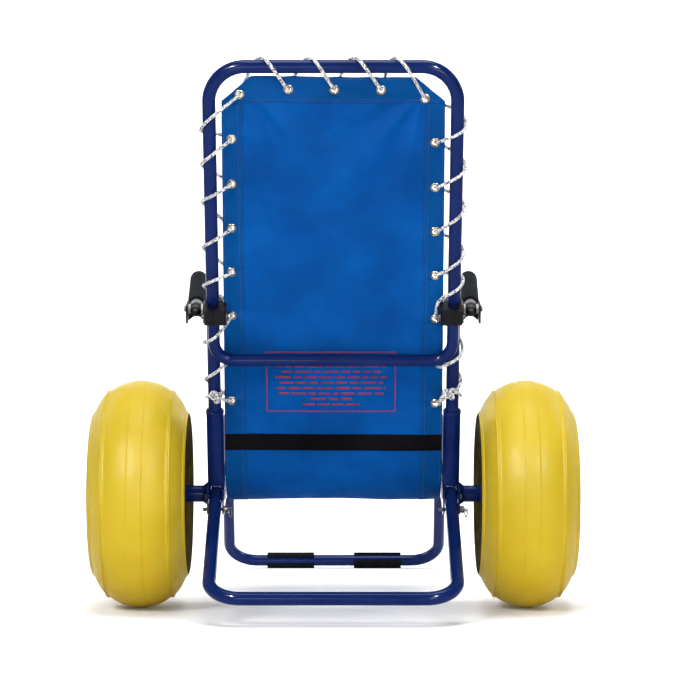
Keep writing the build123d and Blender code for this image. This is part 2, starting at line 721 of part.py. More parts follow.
# ---- Seat and leg frame --------------------------------------------------------------------------
FOOT = (FOOT_AHEAD, FOOT_Z - AXLE_Z)
front_points = [
    cart_point(-FRAME_HALF, seat_leg(-SEAT_HEEL)),
    cart_point(-FRAME_HALF, KNEE),
    cart_point(-FOOT_HALF, FOOT),
    cart_point(FOOT_HALF, FOOT),
    cart_point(FRAME_HALF, KNEE),
    cart_point(FRAME_HALF, seat_leg(-SEAT_HEEL)),
]
front_tube = bent_tube(front_points, [KNEE_BEND, FOOT_CORNER, FOOT_CORNER, KNEE_BEND], TUBE_OD, TUBE_WALL)
with BuildPart() as front_frame:
    add(front_tube)
    with BuildSketch(side_plane(-PLATE_OUT)):
        with Locations(SEAT_PIVOT):
            Circle(BOLT_R + BOLT_FIT)
    extrude(amount=2 * PLATE_OUT, mode=Mode.SUBTRACT)
save(front_frame.part, "front_frame")

KNEE_BAR_HALF = FRAME_HALF - TUBE_R - SIDE_GAP
with BuildPart() as knee_bar:
    with BuildSketch(side_plane(-KNEE_BAR_HALF)):
        with Locations(KNEE_BAR):
            Circle(TUBE_R)
            Circle(TUBE_R - TUBE_WALL, mode=Mode.SUBTRACT)
    extrude(amount=2 * KNEE_BAR_HALF)
save(knee_bar.part, "knee_bar")


def foot_pad(centre_x, mouth_angle):
    """A rubber pad snapped on the foot bar, open toward the given angle above the front."""
    mouth = [(0, 0)]
    for angle in (mouth_angle - PAD_MOUTH / 2, mouth_angle + PAD_MOUTH / 2):
        mouth.append((3 * PAD_R * cos(radians(angle)), 3 * PAD_R * sin(radians(angle))))
    with BuildPart() as pad:
        with BuildSketch(side_plane(centre_x - PAD_LENGTH / 2)):
            with Locations(FOOT):
                Circle(PAD_R)
                Circle(TUBE_R + PAD_FIT, mode=Mode.SUBTRACT)
                Polygon(*mouth, align=None, mode=Mode.SUBTRACT)
            with Locations((FOOT_AHEAD, -AXLE_Z)):
                Rectangle(2 * PAD_R, 2 * PAD_FLAT, align=(Align.CENTER, Align.MAX), mode=Mode.SUBTRACT)
        extrude(amount=PAD_LENGTH)
    return pad.part


save_group((foot_pad(-PAD_X, PAD_MOUTH_LEFT), foot_pad(PAD_X, PAD_MOUTH_RIGHT)), "foot_pads")

# ---- Wheels --------------------------------------------------------------------------------------
WHEEL_AXIS = Axis((0, AXLE_Y, AXLE_Z), (1, 0, 0))
wheel_plane = Plane(origin=(WHEEL_X, AXLE_Y, AXLE_Z), x_dir=(1, 0, 0), z_dir=(0, -1, 0))
CROWN = (CROWN_HALF, WHEEL_RADIUS)
CROWN_FOOT = (CROWN_HALF + 1.5, WHEEL_RADIUS - 1.5)
SHOULDER_START = (67, 222)
SHOULDER_END = (73.5, 218.5)
SIDE_RIDGE = (97.5, 179)
SIDE_TOP = (104.4, 171)
SIDE_LOW = (101, 130)
INNER_LOW = (95, 131)
INNER_HIGH = (95, 172)
with BuildPart() as tyre:
    with BuildSketch(wheel_plane):
        with BuildLine():
            Polyline((0, WHEEL_RADIUS), CROWN, CROWN_FOOT)
            ThreePointArc(CROWN_FOOT, (45, 235.5), SHOULDER_START)
            Polyline(SHOULDER_START, (69.5, 223.5), SHOULDER_END)
            ThreePointArc(SHOULDER_END, (88, 199.5), SIDE_RIDGE)
            Polyline(SIDE_RIDGE, (99.5, 179.5), SIDE_TOP)
            ThreePointArc(SIDE_TOP, (WHEEL_HALF, 155), SIDE_LOW)
            Polyline(SIDE_LOW, (90, 100), (HUB_FACE, 88), (HUB_FACE, BEAD_R), (BEAD_IN, BEAD_R))
            Polyline((BEAD_IN, BEAD_R), (BEAD_IN, 86), (84, 103), INNER_LOW)
            ThreePointArc(INNER_LOW, (98.5, 152), INNER_HIGH)
            ThreePointArc(INNER_HIGH, (66, 217), (0, 239))
            mirror(about=Plane.YZ)
        make_face()
    revolve(axis=WHEEL_AXIS)
save_pair(tyre.part, "tyre")

with BuildPart() as hub:
    with BuildSketch(wheel_plane):
        with BuildLine():
            Polyline(
                (0, BUSH_R + BUSH_FIT),
                (HUB_FACE, BUSH_R + BUSH_FIT),
                (HUB_FACE, HUB_FLANGE_R),
                (HUB_FACE - HUB_FLANGE, HUB_FLANGE_R),
                (HUB_FACE - HUB_FLANGE, HUB_TUBE_R),
                (0, HUB_TUBE_R),
            )
            mirror(about=Plane.YZ)
        make_face()
    revolve(axis=WHEEL_AXIS)
    rib_length = HUB_FLANGE_R - HUB_TUBE_R - 6
    for face_x, rise in ((WHEEL_X + HUB_FACE, HUB_RIB_RISE), (WHEEL_X - HUB_FACE, -HUB_RIB_RISE)):
        with BuildSketch(side_plane(face_x)):
            with PolarLocations((HUB_FLANGE_R + HUB_TUBE_R) / 2, HUB_RIBS):
                Rectangle(rib_length, HUB_RIB_THICK)
        extrude(amount=rise)
save_pair(hub.part, "hub")

hub_bushes = []
for end_x, outward in ((WHEEL_X + HUB_FACE, 1), (WHEEL_X - HUB_FACE, -1)):
    with BuildPart() as hub_bush:
        with BuildSketch(side_plane(end_x)):
            Circle(BUSH_R)
        extrude(amount=-outward * BUSH_LENGTH)
        with BuildSketch(side_plane(end_x)):
            Circle(BUSH_FLANGE_R)
        extrude(amount=outward * BUSH_FLANGE)
        with BuildSketch(side_plane(end_x)):
            Circle(AXLE_OD / 2 + BUSH_FIT)
        extrude(amount=BUSH_LENGTH, both=True, mode=Mode.SUBTRACT)
    hub_bushes.append(hub_bush.part)
save_group(hub_bushes, "hub_bushes_right")
save_group([mirror(piece, about=Plane.YZ) for piece in hub_bushes], "hub_bushes_left")

with BuildPart() as valve:
    for stem_r, stem_length in ((VALVE_BASE_R, VALVE_BASE), (VALVE_STEM_R, VALVE_LENGTH)):
        with BuildSketch(side_plane(WHEEL_X + HUB_FACE)):
            with PolarLocations(VALVE_RADIUS, 1, start_angle=VALVE_ANGLE):
                Circle(stem_r)
        extrude(amount=stem_length)
save_pair(valve.part, "tyre_valve")

# ---- Axles and what keeps the wheels on them -----------------------------------------------------
outer_washer_x = WHEEL_X + HUB_FACE + BUSH_FLANGE + RUN_GAP
groove_x = outer_washer_x + OUTER_WASHER + RUN_GAP
inner_washer_x = STUB_END + RUN_GAP
inner_washer_end = WHEEL_X - HUB_FACE - BUSH_FLANGE - RUN_GAP
cap_x = groove_x + RETAINER + RUN_GAP
cap_end = WHEEL_X + AXLE_END + CAP_WALL


def ring(start, end, inner_r, outer_r):
    """A plain ring round the axle line."""
    with BuildPart() as piece:
        with BuildSketch(side_plane(start)):
            Circle(outer_r)
            Circle(inner_r, mode=Mode.SUBTRACT)
        extrude(amount=end - start)
    return piece.part


groove = ring(groove_x - 0.1, groove_x + RETAINER + 0.1, GROOVE_R, AXLE_OD)
with BuildPart() as axle:
    with BuildSketch(side_plane(PLATE_OUT + RUN_GAP)):
        Circle(AXLE_OD / 2)
    extrude(amount=WHEEL_X + AXLE_END - PLATE_OUT - RUN_GAP)
    add(groove, mode=Mode.SUBTRACT)
    with BuildSketch(screw_plane):
        Circle(SMALL_BOLT_R + BOLT_FIT)
    extrude(amount=-STUB_OD, mode=Mode.SUBTRACT)
save_pair(axle.part, "axle")

with BuildPart() as set_screw:
    with BuildSketch(screw_plane.offset(-SCREW_TIP)):
        Circle(SMALL_BOLT_R)
    extrude(amount=SCREW_TIP + SCREW_SUNK - STUB_OD / 2)
save_group(both_sides(set_screw.part), "axle_set_screws")

inner_washer = ring(inner_washer_x, inner_washer_end, AXLE_OD / 2 + AXLE_FIT, BUSH_FLANGE_R - 1)
outer_washer = ring(outer_washer_x, outer_washer_x + OUTER_WASHER, AXLE_OD / 2 + AXLE_FIT, BUSH_FLANGE_R)
save_group(both_sides(inner_washer) + both_sides(outer_washer), "axle_washers")

with BuildPart() as retainer:
    add(ring(groove_x, groove_x + RETAINER, GROOVE_R + AXLE_FIT, AXLE_OD / 2 + RETAINER_RISE))
    with BuildSketch(side_plane(groove_x)):
        with Locations((0, AXLE_OD / 2)):
            Rectangle(RETAINER_MOUTH, AXLE_OD / 2)
    extrude(amount=RETAINER, mode=Mode.SUBTRACT)
save_group(both_sides(retainer.part), "axle_retaining_rings")

with BuildPart() as axle_cap:
    with BuildSketch(side_plane(cap_x)):
        Circle(CAP_R)
    extrude(amount=cap_end - cap_x)
    fillet(axle_cap.edges().filter_by(GeomType.CIRCLE).sort_by(Axis.X)[-1], CAP_WALL)
    with BuildSketch(side_plane(cap_x)):
        Circle(AXLE_OD / 2 + AXLE_FIT)
    extrude(amount=WHEEL_X + AXLE_END + AXLE_FIT - cap_x, mode=Mode.SUBTRACT)
save_group(both_sides(axle_cap.part), "axle_caps")

# ---- Sling ---------------------------------------------------------------------------------------
CURVE_START = (SEAT_LOW_Z + SEAT_CURVE - AXLE_Z - SEAT_CURVE * LEAN_SIN) / LEAN_COS
CURVE_CENTRE = lean(CURVE_START, -SEAT_CURVE)
HEM_R = TUBE_R + HEM_GAP + CLOTH / 2
to_bar = (KNEE_BAR[0] - CURVE_CENTRE[0], KNEE_BAR[1] - CURVE_CENTRE[1])
bar_distance = hypot(*to_bar)
SEAT_RISE = degrees(atan2(to_bar[1], to_bar[0]) + asin((SEAT_CURVE + HEM_R) / bar_distance))
SEAT_RUN = sqrt(bar_distance ** 2 - (SEAT_CURVE + HEM_R) ** 2)

EYELETS_RIGHT = [
    (EYELET_SIDE_X - row * EYELET_SIDE_STEP, EYELET_RIGHT_FIRST + row * EYELET_RIGHT_PITCH)
    for row in range(EYELET_ROWS)
]
EYELETS_LEFT = [
    (row * EYELET_SIDE_STEP - EYELET_SIDE_X, EYELET_LEFT_FIRST + row * EYELET_LEFT_PITCH)
    for row in range(EYELET_ROWS)
]
EYELETS_TOP = [(x, EYELET_TOP_ALONG) for x in EYELETS_TOP_X]
EYELETS = EYELETS_RIGHT + [EYELET_CORNER_RIGHT] + EYELETS_TOP + [EYELET_CORNER_LEFT] + EYELETS_LEFT[::-1]

with BuildPart() as back_sling:
    with BuildSketch(BACK_PLANE.offset(-CLOTH / 2)):
        Polygon(
            (-SLING_HALF_LOW, CURVE_START + SLING_JOIN_GAP),
            (SLING_HALF_LOW, CURVE_START + SLING_JOIN_GAP),
            (SLING_HALF_HIGH, SLING_CUT_ALONG),
            (SLING_TOP_HALF, SLING_TOP),
            (-SLING_TOP_HALF, SLING_TOP),
            (-SLING_HALF_HIGH, SLING_CUT_ALONG),
            align=None,
        )
        with Locations(*EYELETS):
            Circle(EYELET_OD / 2 + EYELET_FIT, mode=Mode.SUBTRACT)
    extrude(amount=CLOTH)
save(back_sling.part, "back_sling")

with BuildPart() as webbing_band:
    with BuildSketch(BACK_PLANE.offset(CLOTH / 2)):
        with Locations((0, BAND_LOW)):
            Rectangle(2 * SLING_HALF_LOW - 4, BAND_HIGH - BAND_LOW, align=(Align.CENTER, Align.MIN))
    extrude(amount=BAND_THICK)
save(webbing_band.part, "webbing_band")

with BuildPart() as seat_sling:
    with BuildLine(side_plane(0)) as seat_path:
        curve = JernArc(
            start=lean(CURVE_START, 0),
            tangent=(LEAN_SIN, -LEAN_COS),
            radius=SEAT_CURVE,
            arc_size=90 - RECLINE + SEAT_RISE,
        )
        run = PolarLine(start=curve @ 1, length=SEAT_RUN, direction=curve % 1)
        JernArc(start=run @ 1, tangent=run % 1, radius=HEM_R, arc_size=-HEM_WRAP)
    with BuildSketch(Plane(seat_path.line @ 0, x_dir=(1, 0, 0), z_dir=seat_path.line % 0)):
        Rectangle(2 * SLING_HALF_LOW - 5, CLOTH)
    sweep(path=seat_path.line)
save(seat_sling.part, "seat_sling")

with BuildPart() as eyelets:
    with BuildSketch(BACK_PLANE.offset(-EYELET_HALF_THICK)):
        with Locations(*EYELETS):
            Circle(EYELET_OD / 2)
            Circle(EYELET_HOLE, mode=Mode.SUBTRACT)
    extrude(amount=2 * EYELET_HALF_THICK)
save_group(eyelets.solids(), "eyelets")

# ---- Lacing rope ---------------------------------------------------------------------------------
WRAP_OUT = TUBE_R + ROPE_OD / 2 + ROPE_GAP
WRAP_CORNER = WRAP_OUT / cos(radians(30))
TURN = (
    (0.0, WRAP_CORNER),
    (WRAP_OUT, WRAP_CORNER / 2),
    (WRAP_OUT, -WRAP_CORNER / 2),
    (0.0, -WRAP_CORNER),
)


def turn_places(start, outside, end):
    """Each corner of one turn round a tube, with its place along that tube."""
    rear = [start + (outside - start) * share for share in ROPE_REAR_SHARES]
    front = [outside + (end - outside) * share for share in ROPE_FRONT_SHARES]
    return zip(rear + front, TURN)


def side_link(side, start, outside, end):
    """Rope corners round one side tube."""
    places = turn_places(start, outside, end)
    return [(side * (FRAME_HALF + out), along, behind) for along, (out, behind) in places]


def top_link(start, outside, end):
    """Rope corners over the top bar."""
    return [(x, BACK_LENGTH + out, behind) for x, (out, behind) in turn_places(start, outside, end)]


def on_side(side, corners):
    """Corners given for the right side, carried to the side wanted."""
    return [(side * x, along, behind) for x, along, behind in corners]


links = []
right_stops = EYELETS_RIGHT + [EYELET_CORNER_RIGHT]
for start, end, outside in zip(right_stops, right_stops[1:], ROPE_OUTER_RIGHT):
    links.append(side_link(1, start[1], outside, end[1]))
links[LIFT_LINK_RIGHT] = on_side(1, LIFT_CORNERS_RIGHT)
links[CLAMP_LINK_RIGHT] = on_side(1, CLAMP_CORNERS_RIGHT)
top_stops = [EYELET_CORNER_RIGHT] + EYELETS_TOP + [EYELET_CORNER_LEFT]
for start, end, outside in zip(top_stops, top_stops[1:], ROPE_OVER_X):
    links.append(top_link(start[0], outside, end[0]))
left_stops = [EYELET_CORNER_LEFT] + EYELETS_LEFT[::-1]
left_links = []
for start, end, outside in zip(left_stops, left_stops[1:], ROPE_OUTER_LEFT):
    left_links.append(side_link(-1, start[1], outside, end[1]))
left_links[CLAMP_LINK_LEFT] = on_side(-1, CLAMP_CORNERS_LEFT)
left_links[LIFT_LINK_LEFT] = on_side(-1, LIFT_CORNERS_LEFT)
links += left_links

rope_start = (*EYELETS[0], -ROPE_TAIL)
rope_corners = [rope_start, (*EYELETS[0], ROPE_LIFT)]
for link, eyelet in zip(links, EYELETS[1:]):
    rope_corners += link
    rope_corners += [(*eyelet, -ROPE_LIFT), (*eyelet, ROPE_LIFT)]
rope_corners.append(ROPE_END)
rope_points = [BACK_PLANE.from_local_coords(Vector(*corner)) for corner in rope_corners]
rope_radii = corner_radii(rope_points)
with BuildPart() as lacing_rope:
    with BuildLine() as rope_route:
        FilletPolyline(*rope_points, radius=rope_radii)
    with BuildSketch(Plane(rope_route.line @ 0, z_dir=rope_route.line % 0)):
        Circle(ROPE_OD / 2)
    sweep(path=rope_route.line)
save(lacing_rope.part, "lacing_rope")
rope_length = sum(edge.length for edge in rope_route.edges())
section_volume = pi * (ROPE_OD / 2) ** 2 * rope_length
print("rope radii", [round(radius, 1) for radius in rope_radii])
print("rope length", round(rope_length, 1))
print("rope volume over section times length", lacing_rope.part.volume / section_volume)

knots = []
for place, radius in ((KNOT_RIGHT, KNOT_OD / 2), (KNOT_LEFT, KNOT_OD / 2), (rope_start, STOPPER_R)):
    with BuildPart() as knot:
        with Locations(BACK_PLANE.from_local_coords(Vector(*place))):
            Sphere(radius)
    knots.append(knot.part)
save_group(knots, "rope_knots")
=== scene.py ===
import json
import math
import random

import bmesh
import bpy
from mathutils import Matrix, Vector, noise


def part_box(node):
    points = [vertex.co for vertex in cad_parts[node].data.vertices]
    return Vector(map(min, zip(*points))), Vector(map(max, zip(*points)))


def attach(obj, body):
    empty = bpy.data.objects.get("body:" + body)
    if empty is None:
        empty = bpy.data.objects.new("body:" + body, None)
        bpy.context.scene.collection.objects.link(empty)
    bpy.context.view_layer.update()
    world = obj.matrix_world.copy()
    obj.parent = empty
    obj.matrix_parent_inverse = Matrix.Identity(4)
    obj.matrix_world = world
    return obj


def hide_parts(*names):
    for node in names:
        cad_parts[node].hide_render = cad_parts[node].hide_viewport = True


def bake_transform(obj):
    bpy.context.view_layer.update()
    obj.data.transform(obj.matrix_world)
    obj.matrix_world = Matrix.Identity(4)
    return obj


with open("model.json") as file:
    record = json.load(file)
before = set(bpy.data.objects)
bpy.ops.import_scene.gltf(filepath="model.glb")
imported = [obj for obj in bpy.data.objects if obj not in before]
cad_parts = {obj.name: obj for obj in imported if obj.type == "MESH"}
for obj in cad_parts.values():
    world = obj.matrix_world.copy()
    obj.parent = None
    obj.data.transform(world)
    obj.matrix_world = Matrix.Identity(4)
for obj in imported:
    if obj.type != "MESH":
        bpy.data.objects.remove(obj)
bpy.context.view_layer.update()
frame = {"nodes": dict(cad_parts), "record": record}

NODES = frame["nodes"]


# ---- Places on the cart, worked out from the frame, in metres ------------------------------------
def middle(node):
    """The centre of a node's box."""
    low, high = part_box(node)
    return Vector([(a + b) / 2 for a, b in zip(low, high)])


AXLE = middle("axle_left")
WHEEL_X = middle("tyre_right").x
KNEE_BAR = middle("knee_bar")
TUBE_R = 0.014
FRAME_HALF = 0.2535
RECLINE = math.radians(23.3)
LEAN_SIN = math.sin(RECLINE)
LEAN_COS = math.cos(RECLINE)
REARWARD = Vector((0, -LEAN_COS, -LEAN_SIN))
UP_BACK = Vector((0, -LEAN_SIN, LEAN_COS))
SIDEWAYS = Vector((1, 0, 0))
BACK_FACING = Matrix((SIDEWAYS, UP_BACK, REARWARD)).transposed()


def back_point(x, along, behind):
    """A place on the reclined back: to the side, up along the back, and behind it."""
    return Vector((x, AXLE.y, AXLE.z)) + UP_BACK * along + REARWARD * behind


# ---- Materials -----------------------------------------------------------------------------------
class Surface:
    """A procedural material: one Principled shader with its nodes added step by step."""

    def __init__(self, name, color, roughness, metallic=0.0):
        self.material = bpy.data.materials.new(name)
        self.material.use_nodes = True
        self.tree = self.material.node_tree
        self.shader = self.tree.nodes["Principled BSDF"]
        self.set("Base Color", (*color, 1))
        self.set("Roughness", roughness)
        self.set("Metallic", metallic)
        self.normal = None

    def set(self, name, value):
        """Give one of the shader's own sockets a fixed value."""
        self.shader.inputs[name].default_value = value

    def node(self, kind, inputs=(), **settings):
        """Add a node, with its settings and its input values or links."""
        added = self.tree.nodes.new(kind)
        for key, value in settings.items():
            setattr(added, key, value)
        for key, value in dict(inputs).items():
            if isinstance(value, bpy.types.NodeSocket):
                self.tree.links.new(value, added.inputs[key])
            else:
                added.inputs[key].default_value = value
        return added

    def math(self, operation, first, second=0.0):
        """One sum on numbers or sockets."""
        return self.node("ShaderNodeMath", {0: first, 1: second}, operation=operation).outputs[0]

    def place(self, stretch=(1, 1, 1), uv=False):
        """Object or UV coordinates, stretched."""
        coordinates = self.node("ShaderNodeTexCoord").outputs["UV" if uv else "Object"]
        return self.node("ShaderNodeMapping", {"Vector": coordinates, "Scale": stretch}).outputs["Vector"]

    def noise(self, scale, detail=3.0, place=None):
        """Soft noise from 0 to 1."""
        inputs = {"Vector": place or self.place(), "Scale": scale, "Detail": detail}
        return self.node("ShaderNodeTexNoise", inputs).outputs["Fac"]

    def waves(self, scale, direction, place):
        """Even bands from 0 to 1."""
        inputs = {"Vector": place, "Scale": scale}
        return self.node("ShaderNodeTexWave", inputs, bands_direction=direction).outputs["Fac"]

    def spread(self, source, start, end, low=0.0, high=1.0):
        """Stretch a part of a value's range over another range."""
        inputs = {"Value": source, "From Min": start, "From Max": end, "To Min": low, "To Max": high}
        return self.node("ShaderNodeMapRange", inputs, clamp=True).outputs["Result"]

    def blend(self, factor, first, second):
        """Mix two colours or colour sockets."""
        mixer = self.node("ShaderNodeMix", data_type="RGBA")
        for key, value in ((0, factor), (6, first), (7, second)):
            if isinstance(value, bpy.types.NodeSocket):
                self.tree.links.new(value, mixer.inputs[key])
            else:
                mixer.inputs[key].default_value = (*value, 1) if key else value
        return mixer.outputs[2]

    def color(self, socket):
        """Drive the base colour."""
        self.tree.links.new(socket, self.shader.inputs["Base Color"])

    def roughness(self, socket):
        """Drive the roughness."""
        self.tree.links.new(socket, self.shader.inputs["Roughness"])

    def bump(self, height, distance, strength=1.0):
        """Add one layer of relief; distance is its depth in metres."""
        inputs = {"Height": height, "Distance": distance, "Strength": strength}
        if self.normal:
            inputs["Normal"] = self.normal
        self.normal = self.node("ShaderNodeBump", inputs).outputs["Normal"]
        self.tree.links.new(self.normal, self.shader.inputs["Normal"])


# How far apart a wave texture's bands lie at scale 1, in metres.
WAVE_METRE = 0.314


def blue_paint():
    """Gloss navy powder coat: cloudy colour, faint pale handling marks and orange peel."""
    paint = Surface("blue_paint", (0.005, 0.016, 0.115), 0.25)
    marks = paint.noise(330, 7)
    shade = paint.blend(paint.spread(paint.noise(9), 0.3, 0.7), (0.0015, 0.008, 0.058), (0.004, 0.014, 0.084))
    paint.color(paint.blend(paint.spread(marks, 0.70, 0.80, 0, 0.12), shade, (0.05, 0.07, 0.17)))
    paint.roughness(paint.spread(paint.noise(45, 5), 0.3, 0.7, 0.10, 0.17))
    paint.bump(paint.noise(600, 2), 0.00005)
    paint.set("Specular IOR Level", 0.09)
    return paint.material


def woven(name, dark, light, thread, sheen, relief=0.00025):
    """Plain-weave cloth with its threads, of the given width, on the UV grid, which is in metres."""
    cloth = Surface(name, light, 0.62)
    flat = cloth.place(uv=True)
    warp = cloth.waves(WAVE_METRE / thread, "X", flat)
    weft = cloth.waves(WAVE_METRE / thread, "Y", flat)
    crossing = cloth.math("MAXIMUM", warp, weft)
    patches = cloth.spread(cloth.noise(7, 4, flat), 0.35, 0.65)
    # Soil: random dark patches on the cloth.
    dark_patches = cloth.spread(cloth.noise(60, 6, flat), 0.55, 0.8, 0, 0.35)
    shade = cloth.blend(patches, dark, light)
    # Painted shade: the cloth is darkened in the hollows between the threads.
    shade = cloth.blend(cloth.spread(crossing, 0.1, 0.9, 0.25, 0), shade, dark)
    cloth.color(cloth.blend(dark_patches, shade, dark))
    cloth.roughness(cloth.spread(cloth.noise(30, 4, flat), 0.3, 0.7, 0.45, 0.72))
    cloth.bump(crossing, relief)
    cloth.bump(cloth.noise(45, 4, flat), 0.0012, 0.5)
    cloth.set("Specular IOR Level", 0.02)
    cloth.set("Sheen Weight", sheen)
    cloth.set("Sheen Roughness", 0.4)
    cloth.set("Sheen Tint", (*light, 1))
    return cloth.material


def yellow_tyre():
    """Satin moulded yellow skin: cloudy and scuffed, with painted shade darkening it low down."""
    skin = Surface("yellow_tyre", (0.56, 0.40, 0.02), 0.42)
    clouds = skin.spread(skin.noise(6, 4), 0.3, 0.7)
    shade = skin.blend(clouds, (0.39, 0.28, 0.007), (0.46, 0.33, 0.017))
    height = skin.node("ShaderNodeSeparateXYZ", {"Vector": skin.place()}).outputs["Z"]
    low_down = skin.spread(height, 0.26, 0.0, 0, 0.7)
    # Painted shade: blotchy darkening towards the bottom of the tyre, in a deep golden colour.
    dark_patches = skin.math("MULTIPLY", low_down, skin.spread(skin.noise(22, 5), 0.2, 0.7))
    scuffs = skin.spread(skin.noise(120, 8), 0.62, 0.78, 0, 0.3)
    shade = skin.blend(dark_patches, shade, (0.42, 0.26, 0.001))
    shade = skin.blend(scuffs, shade, (0.42, 0.27, 0.012))
    skin.color(shade)
    skin.roughness(skin.spread(skin.noise(35, 5), 0.3, 0.7, 0.34, 0.55))
    skin.bump(skin.noise(700, 3), 0.00015)
    skin.bump(skin.noise(14, 3), 0.0015, 0.35)
    skin.set("Specular IOR Level", 0.12)
    skin.set("Subsurface Weight", 0.06)
    skin.set("Subsurface Radius", (0.02, 0.012, 0.003))
    return skin.material


def grained(name, dark, light, roughness, grain, depth, metallic=0.0, gloss=0.5):
    """Moulded or turned stock: two close shades, a grain and a wandering gloss."""
    stock = Surface(name, light, roughness, metallic)
    stock.set("Specular IOR Level", gloss)
    stock.color(stock.blend(stock.spread(stock.noise(25, 4), 0.3, 0.7), dark, light))
    stock.roughness(stock.spread(stock.noise(90, 5), 0.3, 0.7, roughness * 0.75, roughness * 1.2))
    stock.bump(stock.noise(grain, 3), depth)
    return stock.material


def foam():
    """Closed-cell grip foam: small open pores over a cloudy black."""
    grip = Surface("black_foam", (0.014, 0.017, 0.021), 0.85)
    pores = grip.node("ShaderNodeTexVoronoi", {"Vector": grip.place(), "Scale": 900}).outputs["Distance"]
    clouds = grip.spread(grip.noise(30, 5), 0.3, 0.7)
    grip.color(grip.blend(clouds, (0.003, 0.004, 0.006), (0.009, 0.011, 0.016)))
    grip.set("Specular IOR Level", 0.03)
    grip.bump(pores, 0.0004)
    grip.bump(grip.noise(60, 4), 0.0008, 0.5)
    return grip.material


def brushed(name, dark, light, roughness):
    """Drawn or plated metal with fine lines and dulled patches."""
    metal = Surface(name, light, roughness, 1.0)
    lines = metal.noise(60, 4, metal.place(stretch=(1, 30, 30)))
    metal.color(metal.blend(metal.spread(metal.noise(70, 4), 0.35, 0.7), light, dark))
    metal.roughness(metal.spread(lines, 0.3, 0.7, roughness * 0.7, roughness * 1.4))
    metal.bump(lines, 0.00008)
    return metal.material


def braid():
    """White braided cord with dark tracer yarns: UV x counts strands round it, y plaits along it."""
    rope = Surface("white_rope", (0.8, 0.8, 0.78), 0.7)
    parts = rope.node("ShaderNodeSeparateXYZ", {"Vector": rope.place(uv=True)}).outputs
    up = rope.math("FLOOR", rope.math("ADD", parts["X"], parts["Y"]))
    down = rope.math("FLOOR", rope.math("SUBTRACT", parts["X"], parts["Y"]))
    cell = rope.node("ShaderNodeCombineXYZ", {"X": up, "Y": down}).outputs["Vector"]
    chance = rope.node("ShaderNodeTexWhiteNoise", {"Vector": cell}, noise_dimensions="2D").outputs["Value"]
    tracer = rope.math("GREATER_THAN", chance, 0.66)
    shade = rope.blend(rope.noise(400, 4), (0.46, 0.46, 0.47), (0.66, 0.65, 0.64))
    rope.color(rope.blend(tracer, shade, (0.004, 0.004, 0.010)))
    rope.bump(rope.noise(2500, 3), 0.0002)
    rope.set("Sheen Weight", 0.2)
    return rope.material


def stage_white():
    """Plain pale paper for the floor and the sweep behind."""
    paper = Surface("stage_paper", (0.86, 0.86, 0.87), 0.9)
    paper.bump(paper.noise(300, 3), 0.0001)
    return paper.material


BLACKS = ((0.0015, 0.0015, 0.002), (0.004, 0.004, 0.005))
MATERIALS = {
    "blue_paint": blue_paint(),
    "grey_tube": grained("grey_tube", (0.19, 0.19, 0.20), (0.30, 0.30, 0.31), 0.32, 800, 0.00008, 0.6),
    "zinc_steel": brushed("zinc_steel", (0.03, 0.03, 0.035), (0.14, 0.14, 0.15), 0.32),
    "nickel_eyelet": brushed("nickel_eyelet", (0.045, 0.030, 0.015), (0.30, 0.25, 0.18), 0.26),
    "black_plastic": grained("black_plastic", *BLACKS, 0.4, 1300, 0.0002, gloss=0.1),
    "grey_nylon": grained("grey_nylon", (0.36, 0.36, 0.34), (0.5, 0.5, 0.48), 0.5, 900, 0.0001),
    "olive_plastic": grained("olive_plastic", (0.05, 0.042, 0.012), (0.10, 0.085, 0.028), 0.55, 500, 0.0003),
    "yellow_tyre": yellow_tyre(),
    "black_rubber": grained("black_rubber", *BLACKS, 0.7, 1500, 0.0003, gloss=0.05),
    "black_foam": foam(),
    "blue_fabric": woven("blue_fabric", (0.0003, 0.043, 0.190), (0.0005, 0.068, 0.285), 0.0011, 0.05),
    "black_webbing": woven(
        "black_webbing", (0.0015, 0.0012, 0.002), (0.004, 0.0035, 0.005), 0.0022, 0.03, 0.0006,
    ),
    "white_rope": braid(),
}
THREAD = grained("blue_thread", (0.001, 0.03, 0.17), (0.002, 0.05, 0.24), 0.6, 2500, 0.0002)
BORDER_BLUE = woven("blue_border", (0.0003, 0.039, 0.155), (0.0005, 0.058, 0.225), 0.0011, 0.05)
# Painted shade: a dark olive-brown for the tyres' recessed side walls, where shadow falls.
PAINTED_SHADE_WALL = grained(
    "painted_shade_side_wall", (0.020, 0.014, 0.002), (0.060, 0.043, 0.007), 0.95, 400, 0.0006, gloss=0.02,
)
PRINT_RED = grained("red_print", (0.12, 0.022, 0.07), (0.25, 0.022, 0.06), 0.6, 1800, 0.0001, gloss=0.05)

for entry in frame["record"]["subparts"]:
    body_slots = NODES[entry["node"]].data.materials
    body_slots.clear()
    body_slots.append(MATERIALS[entry["material_slot"]])
NODES["sleeve_rings"].data.materials[0] = MATERIALS["blue_paint"]


# ---- Making and placing pieces -------------------------------------------------------------------
def new_piece(name, points, faces, material, uvs=None):
    """A smooth-shaded mesh object; uvs gives one place for each point."""
    mesh = bpy.data.meshes.new(name)
    mesh.from_pydata([tuple(point) for point in points], [], faces)
    mesh.polygons.foreach_set("use_smooth", [True] * len(mesh.polygons))
    mesh.materials.append(material)
    if uvs:
        layer = mesh.uv_layers.new(name="UVMap")
        for loop in mesh.loops:
            layer.data[loop.index].uv = uvs[loop.vertex_index]
    mesh.validate()
    piece = bpy.data.objects.new(name, mesh)
    bpy.context.scene.collection.objects.link(piece)
    return piece


def settle(piece, body, slot, *replaced):
    """Put a piece on its body and hide the CAD nodes that it stands for; its finish, slot, is not used."""
    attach(piece, body)
    if replaced:
        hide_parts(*replaced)


def apply_modifiers(piece):
    """Keep the modified mesh as the piece's own."""
    graph = bpy.context.evaluated_depsgraph_get()
    finished = bpy.data.meshes.new_from_object(piece.evaluated_get(graph))
    piece.modifiers.clear()
    piece.data = finished


